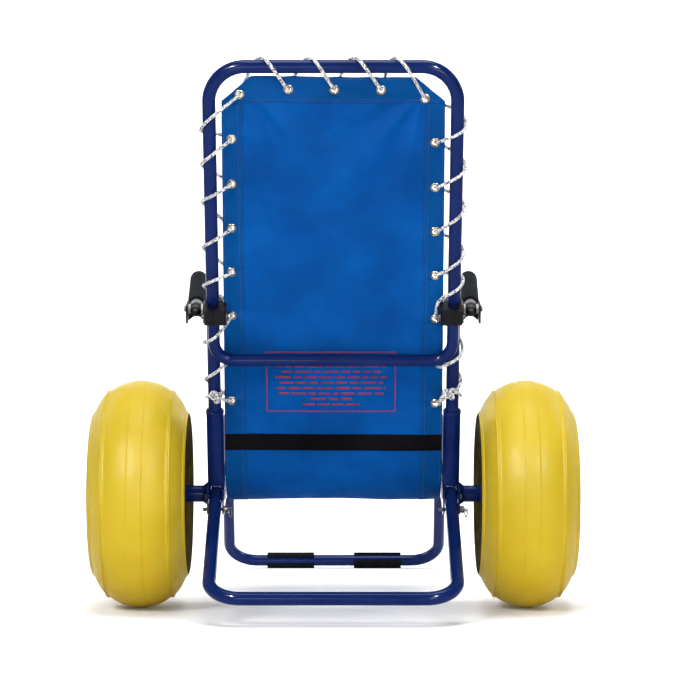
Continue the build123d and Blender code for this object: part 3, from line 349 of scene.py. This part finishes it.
def arc_through(first, mid, last, count):
    """Points on the circle through three, from the first up to the last."""
    (ax, ay), (bx, by), (cx, cy) = first, mid, last
    spread = 2 * (ax * (by - cy) + bx * (cy - ay) + cx * (ay - by))
    squares = [x * x + y * y for x, y in (first, mid, last)]
    ux = (squares[0] * (by - cy) + squares[1] * (cy - ay) + squares[2] * (ay - by)) / spread
    uy = (squares[0] * (cx - bx) + squares[1] * (ax - cx) + squares[2] * (bx - ax)) / spread
    radius = math.hypot(ax - ux, ay - uy)
    start = math.atan2(ay - uy, ax - ux)
    turn = (math.atan2(cy - uy, cx - ux) - start + math.pi) % math.tau - math.pi
    angles = [start + turn * step / count for step in range(count + 1)]
    return [(ux + radius * math.cos(angle), uy + radius * math.sin(angle)) for angle in angles]


def turned(profile, centre, axes, segments):
    """Points and faces of a closed profile of (along axis, radius), turned about an axis."""
    along, across, upward = axes
    points = []
    for step in range(segments):
        angle = math.tau * step / segments
        spoke = across * math.cos(angle) + upward * math.sin(angle)
        points += [centre + along * place + spoke * radius for place, radius in profile]
    size = len(profile)
    faces = []
    for step in range(segments):
        here = step * size
        there = (step + 1) % segments * size
        for index in range(size):
            follow = (index + 1) % size
            faces.append((here + index, here + follow, there + follow, there + index))
    return points, faces


# ---- Tyres ---------------------------------------------------------------------------------------
def tyre_outline():
    """Half of the tyre's section, outside then inside, as (from the middle, radius) in metres."""
    half = [(0.0, 0.245), (0.0135, 0.245), (0.0152, 0.2445), (0.0165, 0.2433)]
    half += arc_through((0.018, 0.2430), (0.045, 0.2355), (0.0655, 0.2229), 14)
    half += [(0.0674, 0.2240), (0.0688, 0.2247), (0.0700, 0.2217), (0.0708, 0.2215), (0.0722, 0.2232)]
    half += arc_through((0.0732, 0.2190), (0.088, 0.1995), (0.0970, 0.1802), 12)
    half += [(0.0985, 0.1800), (0.0997, 0.1792), (0.1012, 0.1772), (0.1030, 0.1742)]
    half += arc_through((0.1044, 0.1700), (0.1050, 0.155), (0.1010, 0.130), 10)
    half += arc_through((0.1000, 0.126), (0.094, 0.105), (0.081, 0.0885), 8)
    half += [(0.0800, 0.0860), (0.0800, 0.0781), (0.0752, 0.0781), (0.0752, 0.0860)]
    half += arc_through((0.0760, 0.0885), (0.089, 0.110), (0.0955, 0.135), 8)
    half += arc_through((0.0970, 0.145), (0.096, 0.172), (0.068, 0.214), 10)
    half += [(0.040, 0.2305), (0.0, 0.2385)]
    return half


TYRE_SEGMENTS = 144
# The side wall, painted dark as shade in its recess, lies outside WALL_FROM from the tyre's middle and inside
# WALL_R.
WALL_FROM = 0.079
WALL_R = 0.1735


def build_tyre(side, centre_x):
    """One tyre, lathed whole, with painted shade on its recessed side walls as a second material."""
    half = tyre_outline()
    profile = half + [(-place, radius) for place, radius in half[-2:0:-1]]
    centre = Vector((centre_x, AXLE.y, AXLE.z))
    axes = (SIDEWAYS, Vector((0, 1, 0)), Vector((0, 0, 1)))
    points, faces = turned(profile, centre, axes, TYRE_SEGMENTS)
    piece = new_piece(f"balloon_tyre_{side}", points, faces, MATERIALS["yellow_tyre"])
    piece.data.materials.append(PAINTED_SHADE_WALL)
    for polygon in piece.data.polygons:
        radius = math.hypot(polygon.center.y - AXLE.y, polygon.center.z - AXLE.z)
        is_wall = abs(abs(polygon.center.x) - WHEEL_X) > WALL_FROM and radius < WALL_R
        polygon.material_index = 1 if is_wall else 0
    settle(piece, f"wheel_{side}", "yellow_tyre", f"tyre_{side}")


build_tyre("left", -WHEEL_X)
build_tyre("right", WHEEL_X)

# ---- Sling ---------------------------------------------------------------------------------------
SLING_TOP = 0.945
CORNER_CUT = 0.893
TOP_HALF = 0.168
HIGH_HALF = 0.228
LOW_HALF = 0.2335
SEAT_HALF = 0.231
BORDER_X = 0.1875
BORDER_ALONG = 0.889
BAND = (0.105, 0.143)
CLOTH = 0.0018
SEAT_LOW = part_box("seat_sling")[0][2] + 0.0012
CURVE_R = 0.110
CURVE_START = (SEAT_LOW + CURVE_R - AXLE.z - CURVE_R * LEAN_SIN) / LEAN_COS
HEM_R = TUBE_R + 0.0003 + 0.0012
HEM_TURN = math.radians(205)
SIDE_STEP = 0.00145
EYELETS_RIGHT = [(0.2175 - row * SIDE_STEP, 0.2165 + row * 0.098) for row in range(7)]
EYELETS_LEFT = [(row * SIDE_STEP - 0.2175, 0.221 + row * 0.0985) for row in range(7)]
CORNER_RIGHT = (0.187, 0.900)
CORNER_LEFT = (-0.191, 0.907)
EYELETS_TOP = [(0.0975, 0.918), (0.0025, 0.918), (-0.0915, 0.918)]
EYELETS = EYELETS_RIGHT + [CORNER_RIGHT] + EYELETS_TOP + [CORNER_LEFT] + EYELETS_LEFT[::-1]


def rotated(vector, angle):
    """A (forward, up) pair turned counter-clockwise."""
    forward, up = vector
    cosine, sine = math.cos(angle), math.sin(angle)
    return (forward * cosine - up * sine, forward * sine + up * cosine)


LEAN_NORMAL = (-LEAN_COS, -LEAN_SIN)
CURVE_C = (-CURVE_START * LEAN_SIN + CURVE_R * LEAN_COS, CURVE_START * LEAN_COS + CURVE_R * LEAN_SIN)
BAR = (KNEE_BAR.y - AXLE.y, KNEE_BAR.z - AXLE.z)
TO_BAR = (BAR[0] - CURVE_C[0], BAR[1] - CURVE_C[1])
BAR_DISTANCE = math.hypot(*TO_BAR)
SEAT_RISE = math.atan2(TO_BAR[1], TO_BAR[0]) + math.asin((CURVE_R + HEM_R) / BAR_DISTANCE)
CURVE_TURN = math.pi / 2 - RECLINE + SEAT_RISE
RUN = math.sqrt(BAR_DISTANCE ** 2 - (CURVE_R + HEM_R) ** 2)
CURVE_AT = SLING_TOP - CURVE_START
RUN_AT = CURVE_AT + CURVE_R * CURVE_TURN
WRAP_AT = RUN_AT + RUN
SLING_LENGTH = WRAP_AT + HEM_R * HEM_TURN


def sling_line(down):
    """Place and outward normal, both (forward, up), at a length down the cloth from its top edge."""
    if down < CURVE_AT:
        along = SLING_TOP - down
        return (-along * LEAN_SIN, along * LEAN_COS), LEAN_NORMAL
    turn = min(down - CURVE_AT, RUN_AT - CURVE_AT) / CURVE_R
    normal = rotated(LEAN_NORMAL, turn)
    place = (CURVE_C[0] + CURVE_R * normal[0], CURVE_C[1] + CURVE_R * normal[1])
    if down > RUN_AT:
        onward = rotated(normal, math.pi / 2)
        run = min(down - RUN_AT, RUN)
        place = (place[0] + onward[0] * run, place[1] + onward[1] * run)
    if down > WRAP_AT:
        normal = rotated(normal, -(down - WRAP_AT) / HEM_R)
        place = (BAR[0] - HEM_R * normal[0], BAR[1] - HEM_R * normal[1])
    return place, normal


def half_width(down):
    """Half of the cloth's width at a length down from its top edge."""
    along = SLING_TOP - down
    if along > CORNER_CUT:
        return TOP_HALF + (HIGH_HALF - TOP_HALF) * down / (SLING_TOP - CORNER_CUT)
    share = min(max((CORNER_CUT - along) / (CORNER_CUT - CURVE_START), 0), 1)
    low = HIGH_HALF + (LOW_HALF - HIGH_HALF) * share
    fade = min(max((down - CURVE_AT) / (RUN_AT - CURVE_AT), 0), 1)
    return low + (SEAT_HALF - low) * fade


# The cloth's relief: how high each kind of hollow, crease, fold and pull stands.
HOLLOW_RISE = 0.0060
CREASE_RISE = 0.0007
FOLD_RISE = 0.0065
FOLD_COUNT = 11
PULL_RISE = 0.0030
PULL_REACH = 0.22


def crumple(x, down):
    """How far the cloth stands behind its plane: hollows, creases, corner folds and eyelet pulls."""
    still = min(max((WRAP_AT - 0.03 - down) / 0.05, 0), 1)
    slow = HOLLOW_RISE * noise.noise(Vector((x * 4.6 + 3, down * 3.1, 1.7)))
    fine = CREASE_RISE * noise.noise(Vector((x * 26, down * 21, 4.4)))
    corner_x = TOP_HALF + 0.02 - abs(x)
    corner_reach = math.hypot(corner_x, down - 0.03)
    wander = 5 * noise.noise(Vector((x * 3, down * 3, 2.2)))
    folds = math.sin(FOLD_COUNT * math.atan2(down - 0.03, corner_x) + wander)
    inset = min(max((down - 0.035) / 0.06, 0), 1) * min(max((half_width(down) - abs(x) - 0.03) / 0.05, 0), 1)
    corner = FOLD_RISE * inset * folds * math.exp(-max(corner_reach - 0.10, 0) / 0.17)
    pull = 0.0
    for place, along in EYELETS:
        gap_x = place - x
        gap_y = SLING_TOP - along - down
        reach = math.hypot(gap_x, gap_y)
        if reach < PULL_REACH:
            inward = math.atan2(gap_y, gap_x if place > 0 else -gap_x)
            near = min(reach / 0.025, 1)
            pull += PULL_RISE * math.exp(-reach / 0.07) * near * math.cos(4 * inward + place * 40 + along * 9)
    return still * (slow + fine + corner + pull)


def on_sling(x, down, lift=0.0):
    """A place on the cloth, moved out by lift along its outward normal."""
    (forward, up), (normal_forward, normal_up) = sling_line(down)
    out = crumple(x, down) + lift
    return Vector((x, AXLE.y + forward + normal_forward * out, AXLE.z + up + normal_up * out))


HOLE_R = 0.0082
SLING_COLUMNS = 116
SLING_ROWS = 376
BORDER_COLUMNS = 14
BORDER_THICK = 0.0010
BAND_THICK = 0.0012


def cloth_patch(name, edges, top, bottom, columns, rows, lift, thick, material, holes=()):
    """A thin closed sheet on the sling between two edge functions of the length down."""
    points = []
    uvs = []
    for row in range(rows + 1):
        down = top + (bottom - top) * row / rows
        left, right = edges(down)
        for column in range(columns + 1):
            x = left + (right - left) * column / columns
            points.append(on_sling(x, down, lift))
            uvs.append((x, down))
    faces = []
    for row in range(rows):
        for column in range(columns):
            corner = row * (columns + 1) + column
            middle_x = (uvs[corner][0] + uvs[corner + columns + 2][0]) / 2
            middle_down = (uvs[corner][1] + uvs[corner + columns + 2][1]) / 2
            if any(math.hypot(middle_x - x, SLING_TOP - along - middle_down) < HOLE_R for x, along in holes):
                continue
            faces.append((corner, corner + 1, corner + columns + 2, corner + columns + 1))
    piece = new_piece(name, points, faces, material, uvs)
    thickness = piece.modifiers.new("thickness", "SOLIDIFY")
    thickness.thickness = thick
    thickness.offset = 0
    apply_modifiers(piece)
    return piece


def join_pieces(name, pieces):
    """Join several meshes into one named piece."""
    joined = bmesh.new()
    for piece in pieces:
        joined.from_mesh(piece.data)
    mesh = bpy.data.meshes.new(name)
    joined.to_mesh(mesh)
    joined.free()
    mesh.materials.append(pieces[0].data.materials[0])
    for piece in pieces:
        bpy.data.objects.remove(piece)
    whole = bpy.data.objects.new(name, mesh)
    bpy.context.scene.collection.objects.link(whole)
    return whole


BLEND_END = on_sling(0, RUN_AT)


def over_the_hinge(piece, slot, *replaced):
    """Bake the cloth, which runs from the back frame over the leg frame's knee bar, in place and hide the CAD
    nodes that it stands for.
    """
    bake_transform(piece)
    if replaced:
        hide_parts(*replaced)


sling = cloth_patch(
    "sling_cloth", lambda down: (-half_width(down), half_width(down)),
    0.0, SLING_LENGTH, SLING_COLUMNS, SLING_ROWS, 0.0, CLOTH, MATERIALS["blue_fabric"], EYELETS,
)
over_the_hinge(sling, "blue_fabric", "back_sling", "seat_sling")

border_top = SLING_TOP - BORDER_ALONG
border_lift = CLOTH / 2 + 0.0006
borders = [
    cloth_patch(
        "border_right", lambda down: (BORDER_X, half_width(down)),
        border_top, SLING_LENGTH, BORDER_COLUMNS, SLING_ROWS, border_lift, BORDER_THICK, BORDER_BLUE, EYELETS,
    ),
    cloth_patch(
        "border_left", lambda down: (-half_width(down), -BORDER_X),
        border_top, SLING_LENGTH, BORDER_COLUMNS, SLING_ROWS, border_lift, BORDER_THICK, BORDER_BLUE, EYELETS,
    ),
    cloth_patch(
        "border_top", lambda down: (-half_width(down), half_width(down)),
        0.0, border_top, SLING_COLUMNS, 16, border_lift, BORDER_THICK, BORDER_BLUE, EYELETS,
    ),
]
sling_border = join_pieces("sling_border", borders)
over_the_hinge(sling_border, "blue_fabric")

band = cloth_patch(
    "sewn_webbing_band", lambda down: (-half_width(down) + 0.001, half_width(down) - 0.001),
    SLING_TOP - BAND[1], SLING_TOP - BAND[0], SLING_COLUMNS, 12, border_lift + BAND_THICK, BAND_THICK,
    MATERIALS["black_webbing"],
)
settle(band, "chassis", "black_webbing", "webbing_band")


STITCH_PITCH = 0.0040
STITCH_LENGTH = 0.0029
THREAD_HALF = 0.00035
THREAD_FOOT = 0.0004
THREAD_TOP = 0.0010
EDGE_STEP = 0.02


def stitches(line):
    """Points and faces of a row of short threads along a line of (x, down) pairs."""
    points, faces = [], []
    for start, end in zip(line, line[1:]):
        run = math.hypot(end[0] - start[0], end[1] - start[1])
        for index in range(int(run / STITCH_PITCH)):
            ends = []
            for reach in (index * STITCH_PITCH, index * STITCH_PITCH + STITCH_LENGTH):
                share = reach / run
                ends.append((start[0] + (end[0] - start[0]) * share, start[1] + (end[1] - start[1]) * share))
            side = ((end[1] - start[1]) / run * THREAD_HALF, (start[0] - end[0]) / run * THREAD_HALF)
            base = len(points)
            for x, down in ends:
                points.append(on_sling(x - side[0], down - side[1], border_lift + THREAD_FOOT))
                points.append(on_sling(x + side[0], down + side[1], border_lift + THREAD_FOOT))
                points.append(on_sling(x, down, border_lift + THREAD_TOP))
            faces += [
                (base, base + 2, base + 5, base + 3), (base + 2, base + 1, base + 4, base + 5),
                (base, base + 3, base + 4, base + 1), (base, base + 1, base + 2),
                (base + 3, base + 5, base + 4),
            ]
    return points, faces


def sewing_lines():
    """Each sewn line on the sling, as (x, down) corners."""
    lines = []
    for side in (-1, 1):
        for inset in (0.0018, 0.0075):
            lines.append([(side * (BORDER_X + inset), border_top), (side * (BORDER_X + inset), SLING_LENGTH)])
        places = [step * EDGE_STEP for step in range(3, int(SLING_LENGTH / EDGE_STEP))]
        lines.append([(side * (half_width(down) - 0.004), down) for down in places])
    for inset in (-0.0018, -0.0075, -0.052):
        reach = BORDER_X if inset > -0.05 else TOP_HALF - 0.004
        lines.append([(-reach, border_top + inset), (reach, border_top + inset)])
    for edge in (BAND[0] + 0.003, BAND[1] - 0.003):
        lines.append([(-0.230, SLING_TOP - edge), (0.230, SLING_TOP - edge)])
    for inset in (-0.016, -0.010):
        lines.append([(-SEAT_HALF, WRAP_AT + inset), (SEAT_HALF, WRAP_AT + inset)])
    return lines


thread_points, thread_faces = [], []
for line in sewing_lines():
    row_points, row_faces = stitches(line)
    offset = len(thread_points)
    thread_points += row_points
    thread_faces += [tuple(offset + index for index in face) for face in row_faces]
sling_stitching = new_piece("sling_stitching", thread_points, thread_faces, THREAD)
over_the_hinge(sling_stitching, "blue_fabric")


def printed_bar(left, right, low, high):
    """A printed stroke on the cloth, between sides in x and places along the back."""
    columns = max(2, int((right - left) / 0.006))
    rows = max(2, int((high - low) / 0.006))
    return cloth_patch(
        "bar", lambda down: (left, right), SLING_TOP - high, SLING_TOP - low,
        columns, rows, CLOTH / 2 + 0.0003, 0.0003, PRINT_RED,
    )


BAR_PITCH = 0.0128
BAR_TALL = 0.0045
BAR_GAP = 0.005


def build_label():
    """A plain printed panel: an outline and rows of broken bars, with no lettering."""
    left, right, low, high, stroke = -0.143, 0.133, 0.196, 0.336, 0.0026
    strokes = [
        printed_bar(left, right, low, low + stroke), printed_bar(left, right, high - stroke, high),
        printed_bar(left, left + stroke, low, high), printed_bar(right - stroke, right, low, high),
    ]
    lots = random.Random(7)
    for row, reach in enumerate((0.112, 0.116, 0.105, 0.118, 0.110, 0.116, 0.112, 0.045, 0.062)):
        base = high - 0.018 - row * BAR_PITCH
        x = -reach
        while x < reach:
            end = min(x + lots.uniform(0.012, 0.038), reach)
            strokes.append(printed_bar(x - BAR_GAP, end - BAR_GAP, base - BAR_TALL, base))
            x = end + BAR_GAP
    label = join_pieces("printed_panel", strokes)
    settle(label, "chassis", "blue_fabric")
    return label


label = build_label()

# ---- Eyelets -------------------------------------------------------------------------------------
EYELET_SEGMENTS = 28


def build_eyelets():
    """Rolled rings clenched through the cloth, front and back."""
    rim = arc_through((0.0020, 0.0061), (0.0030, 0.0078), (0.0012, 0.0106), 8)
    profile = rim + [(0.0, 0.0106)] + [(-place, radius) for place, radius in rim[::-1]] + [(0.0, 0.0060)]
    points, faces = [], []
    for x, along in EYELETS:
        centre = on_sling(x, SLING_TOP - along, 0.0006)
        ring_points, ring_faces = turned(profile, centre, (REARWARD, SIDEWAYS, UP_BACK), EYELET_SEGMENTS)
        offset = len(points)
        points += ring_points
        faces += [tuple(offset + index for index in face) for face in ring_faces]
    rings = new_piece("rolled_eyelets", points, faces, MATERIALS["nickel_eyelet"])
    settle(rings, "chassis", "nickel_eyelet", "eyelets")


build_eyelets()

# ---- Lacing rope ---------------------------------------------------------------------------------
ROPE_R = 0.0035
WRAP_OUT = TUBE_R + ROPE_R + 0.0005
WRAP_CORNER = WRAP_OUT / math.cos(math.radians(30))
BACK_LENGTH = 0.9665
ROPE_LIFT = 0.0065
ROPE_TAIL = 0.014
TURN = (
    (0.57, True, 0.0, WRAP_CORNER),
    (0.86, True, WRAP_OUT, WRAP_CORNER / 2),
    (0.14, False, WRAP_OUT, -WRAP_CORNER / 2),
    (0.43, False, 0.0, -WRAP_CORNER),
)
OUTSIDE_RIGHT = (0.272, 0.351, 0.504, 0.5625, 0.665, 0.7525, 0.843)
OUTSIDE_TOP = (0.126, 0.0455, -0.0445, -0.1425)
OUTSIDE_LEFT = (0.826, 0.754, 0.676, 0.574, 0.486, 0.365, 0.272)
LIFT_CORNERS_RIGHT = (
    (0.222, 0.309, 0.026), (0.2407, 0.325, 0.0426), (0.263, 0.340, 0.046),
    (0.273, 0.349, 0.028), (0.2715, 0.358, -0.0104), (0.2535, 0.380, -0.0208),
)
CLAMP_CORNERS_RIGHT = (
    (0.2175, 0.460, 0.010), (0.2535, 0.480, 0.0208), (0.2715, 0.495, 0.0104),
    (0.2715, 0.505, -0.0104), (0.2535, 0.5085, -0.0208),
)
CLAMP_CORNERS_LEFT = (
    (-0.2535, 0.505, 0.0208), (-0.2715, 0.493, 0.0104), (-0.2715, 0.480, -0.0104),
    (-0.2535, 0.466, -0.0208), (-0.227, 0.453, -0.009),
)
LIFT_CORNERS_LEFT = (
    (-0.2407, 0.392, 0.0426), (-0.263, 0.378, 0.046), (-0.273, 0.368, 0.028),
    (-0.2715, 0.356, -0.0104), (-0.2535, 0.340, -0.0208),
)
ROPE_END = (-0.243, 0.238, 0.021)


def link(start, outside, end, carry):
    """Corners of one turn round a tube; carry makes a place from (along the tube, out, behind)."""
    corners = []
    for share, before, out, behind in TURN:
        first, last = (start, outside) if before else (outside, end)
        corners.append(carry(first + (last - first) * share, out, behind))
    return corners


def rope_corners():
    """The rope's route on the back, placed round the clamps and the lift bar."""
    links = []
    stops = EYELETS_RIGHT + [CORNER_RIGHT]
    for start, end, outside in zip(stops, stops[1:], OUTSIDE_RIGHT):
        links.append(link(start[1], outside, end[1], lambda place, out, b: (FRAME_HALF + out, place, b)))
    links[1] = LIFT_CORNERS_RIGHT
    links[2] = CLAMP_CORNERS_RIGHT
    stops = [CORNER_RIGHT] + EYELETS_TOP + [CORNER_LEFT]
    for start, end, outside in zip(stops, stops[1:], OUTSIDE_TOP):
        links.append(link(start[0], outside, end[0], lambda place, out, b: (place, BACK_LENGTH + out, b)))
    stops = [CORNER_LEFT] + EYELETS_LEFT[::-1]
    for start, end, outside in zip(stops, stops[1:], OUTSIDE_LEFT):
        links.append(link(start[1], outside, end[1], lambda place, out, b: (-FRAME_HALF - out, place, b)))
    links[-3] = CLAMP_CORNERS_LEFT
    links[-2] = LIFT_CORNERS_LEFT
    corners = [(*EYELETS[0], -ROPE_TAIL), (*EYELETS[0], ROPE_LIFT)]
    for turns, eyelet in zip(links, EYELETS[1:]):
        corners += turns
        corners += [(*eyelet, -ROPE_LIFT), (*eyelet, ROPE_LIFT)]
    return corners + [ROPE_END]


def smooth_line(places):
    """Points along the NURBS curve that the places control."""
    curve = bpy.data.curves.new("route", "CURVE")
    curve.dimensions = "3D"
    spline = curve.splines.new("NURBS")
    spline.points.add(len(places) - 1)
    for point, place in zip(spline.points, places):
        point.co = (*place, 1)
    spline.order_u = 3
    spline.use_endpoint_u = True
    spline.resolution_u = 14
    holder = bpy.data.objects.new("route", curve)
    bpy.context.scene.collection.objects.link(holder)
    graph = bpy.context.evaluated_depsgraph_get()
    line_mesh = bpy.data.meshes.new_from_object(holder.evaluated_get(graph))
    line = [vertex.co.copy() for vertex in line_mesh.vertices]
    bpy.data.meshes.remove(line_mesh)
    bpy.data.objects.remove(holder)
    return line


def evenly(line, step):
    """The same line, with its points a step apart."""
    spaced = [line[0]]
    left = step
    for start, end in zip(line, line[1:]):
        run = (end - start).length
        while run > left:
            start = start + (end - start) * (left / run)
            spaced.append(start)
            run = (end - start).length
            left = step
        left -= run
    return spaced


PLAIT = 0.0042
STRANDS = 10
ROPE_STEP = 0.00085
ROPE_SPOKES = 24


def braided_tube(name, line, radius, closed=False):
    """A plaited cord along a line: strands cross over and under, and stand proud between crossings."""
    line = evenly(line, ROPE_STEP)
    side = Vector((0, 0, 1)).cross(line[1] - line[0]).normalized()
    points, uvs, faces = [], [], []
    for index, place in enumerate(line):
        ahead = line[min(index + 1, len(line) - 1)] - line[max(index - 1, 0)]
        ahead.normalize()
        side = (side - ahead * side.dot(ahead)).normalized()
        across = ahead.cross(side)
        taper = 1.0
        if not closed:
            taper = min(1.0, 0.45 + 0.4 * min(index, len(line) - 1 - index))
        for spoke in range(ROPE_SPOKES):
            turn = spoke / ROPE_SPOKES
            plait = index * ROPE_STEP / PLAIT
            over = math.sin(math.pi * (turn * STRANDS + plait))
            under = math.sin(math.pi * (turn * STRANDS - plait))
            ridge = abs(over * under)
            reach = radius * taper * (0.90 + 0.14 * ridge)
            angle = math.tau * turn
            points.append(place + (side * math.cos(angle) + across * math.sin(angle)) * reach)
            uvs.append((turn * STRANDS, plait))
    for index in range(len(line) - 1):
        here = index * ROPE_SPOKES
        there = here + ROPE_SPOKES
        for spoke in range(ROPE_SPOKES):
            follow = (spoke + 1) % ROPE_SPOKES
            faces.append((here + spoke, here + follow, there + follow, there + spoke))
    faces.append(tuple(range(ROPE_SPOKES))[::-1])
    faces.append(tuple(range(len(points) - ROPE_SPOKES, len(points))))
    return new_piece(name, points, faces, MATERIALS["white_rope"], uvs)


rope = braided_tube("braided_rope", smooth_line([back_point(*corner) for corner in rope_corners()]), ROPE_R)
settle(rope, "chassis", "white_rope", "lacing_rope")


KNOT_STEPS = 120


def knot_line(centre, size, turn):
    """A trefoil round a centre on the back."""
    line = []
    for step in range(KNOT_STEPS + 1):
        angle = math.tau * step / KNOT_STEPS
        wide = math.sin(angle) + 2 * math.sin(2 * angle)
        high = math.cos(angle) - 2 * math.cos(2 * angle)
        loop = Matrix.Rotation(turn, 3, "Z") @ Vector((wide, high, -1.2 * math.sin(3 * angle)))
        line.append(centre + BACK_FACING @ (loop * size))
    return line


def build_knots():
    """The three knots and the short tails that hang from the two outer ones."""
    knots = [
        braided_tube("knot_a", knot_line(back_point(0.246, 0.249, 0.0245), 0.0042, 0.4), 0.0035, True),
        braided_tube("knot_b", knot_line(back_point(-0.249, 0.242, 0.0245), 0.0042, 2.1), 0.0035, True),
        braided_tube("knot_c", knot_line(back_point(*EYELETS[0], -0.0125), 0.0017, 1.0), 0.0030, True),
    ]
    tails = (
        ((0.242, 0.250, 0.028), (0.231, 0.246, 0.030), (0.226, 0.236, 0.027), (0.226, 0.222, 0.021)),
        ((0.250, 0.254, 0.027), (0.262, 0.252, 0.024), (0.270, 0.244, 0.016), (0.272, 0.236, 0.010)),
        ((-0.252, 0.246, 0.027), (-0.262, 0.244, 0.024), (-0.269, 0.238, 0.015), (-0.271, 0.232, 0.008)),
    )
    for index, corners in enumerate(tails):
        line = smooth_line([back_point(*corner) for corner in corners])
        knots.append(braided_tube(f"tail_{index}", line, 0.0032))
    whole = join_pieces("tied_knots", knots)
    settle(whole, "chassis", "white_rope", "rope_knots")


build_knots()

# ---- Stage, light and camera ---------------------------------------------------------------------
SWEEP_START = 5.0
SWEEP_R = 3.0
SWEEP_STEPS = 12


def build_stage():
    """A pale floor that sweeps up into a backdrop far behind the cart."""
    section = [(-30.0, 0.0), (SWEEP_START, 0.0)]
    for step in range(1, SWEEP_STEPS + 1):
        angle = step * math.pi / (2 * SWEEP_STEPS)
        section.append((SWEEP_START + SWEEP_R * math.sin(angle), SWEEP_R - SWEEP_R * math.cos(angle)))
    section.append((SWEEP_START + SWEEP_R, 12.0))
    points = [(side, forward, up - 0.0004) for forward, up in section for side in (-30.0, 30.0)]
    faces = [(2 * row, 2 * row + 1, 2 * row + 3, 2 * row + 2) for row in range(len(section) - 1)]
    sweep = new_piece("studio_sweep", points, faces, stage_white())


def soft_light(name, place, target, size, energy, glint=False):
    """A square soft box aimed at a place; a glint only shows in glossy surfaces."""
    data = bpy.data.lights.new(name, "AREA")
    data.size = size
    data.energy = energy
    light = bpy.data.objects.new(name, data)
    light.location = place
    light.visible_diffuse = not glint
    light.rotation_euler = (Vector(target) - Vector(place)).to_track_quat("-Z", "Y").to_euler()
    bpy.context.scene.collection.objects.link(light)


build_stage()
soft_light("key", (-2.6, -4.6, 3.8), (0, -0.2, 0.5), 1.8, 160)
soft_light("fill", (1.8, -5.0, 0.7), (0, -0.2, 0.4), 1.4, 100)
soft_light("low", (-0.6, -4.4, 0.35), (0, -0.3, 0.25), 1.1, 38)
soft_light("glint_left", (-1.5, -3.6, 2.6), (0, -0.4, 0.6), 0.16, 420, glint=True)
soft_light("glint_right", (1.9, -3.9, 2.9), (0, -0.4, 0.6), 0.14, 320, glint=True)
soft_light("top", (0.2, -0.6, 4.6), (0, -0.3, 0.0), 2.6, 200)
soft_light("backdrop_left", (-4.2, 2.6, 3.2), (0, 7.0, 1.6), 2.2, 420)
soft_light("backdrop_right", (4.2, 2.6, 3.2), (0, 7.0, 1.6), 2.2, 420)
world = bpy.data.worlds.new("studio")
world.use_nodes = True
world.node_tree.nodes["Background"].inputs["Color"].default_value = (0.95, 0.97, 1.0, 1)
world.node_tree.nodes["Background"].inputs["Strength"].default_value = 0.3
bpy.context.scene.world = world
bpy.context.scene.view_settings.view_transform = "Standard"

CAMERA_BACK = 5.85
camera_data = bpy.data.cameras.new("camera")
camera_data.lens = 144
camera_data.sensor_width = 36
camera_data.shift_y = -0.0081
camera = bpy.data.objects.new("camera", camera_data)
camera.location = (0.0087, AXLE.y - CAMERA_BACK, 0.595)
camera.rotation_euler = (math.pi / 2, 0, 0)
bpy.context.scene.collection.objects.link(camera)
bpy.context.scene.camera = camera
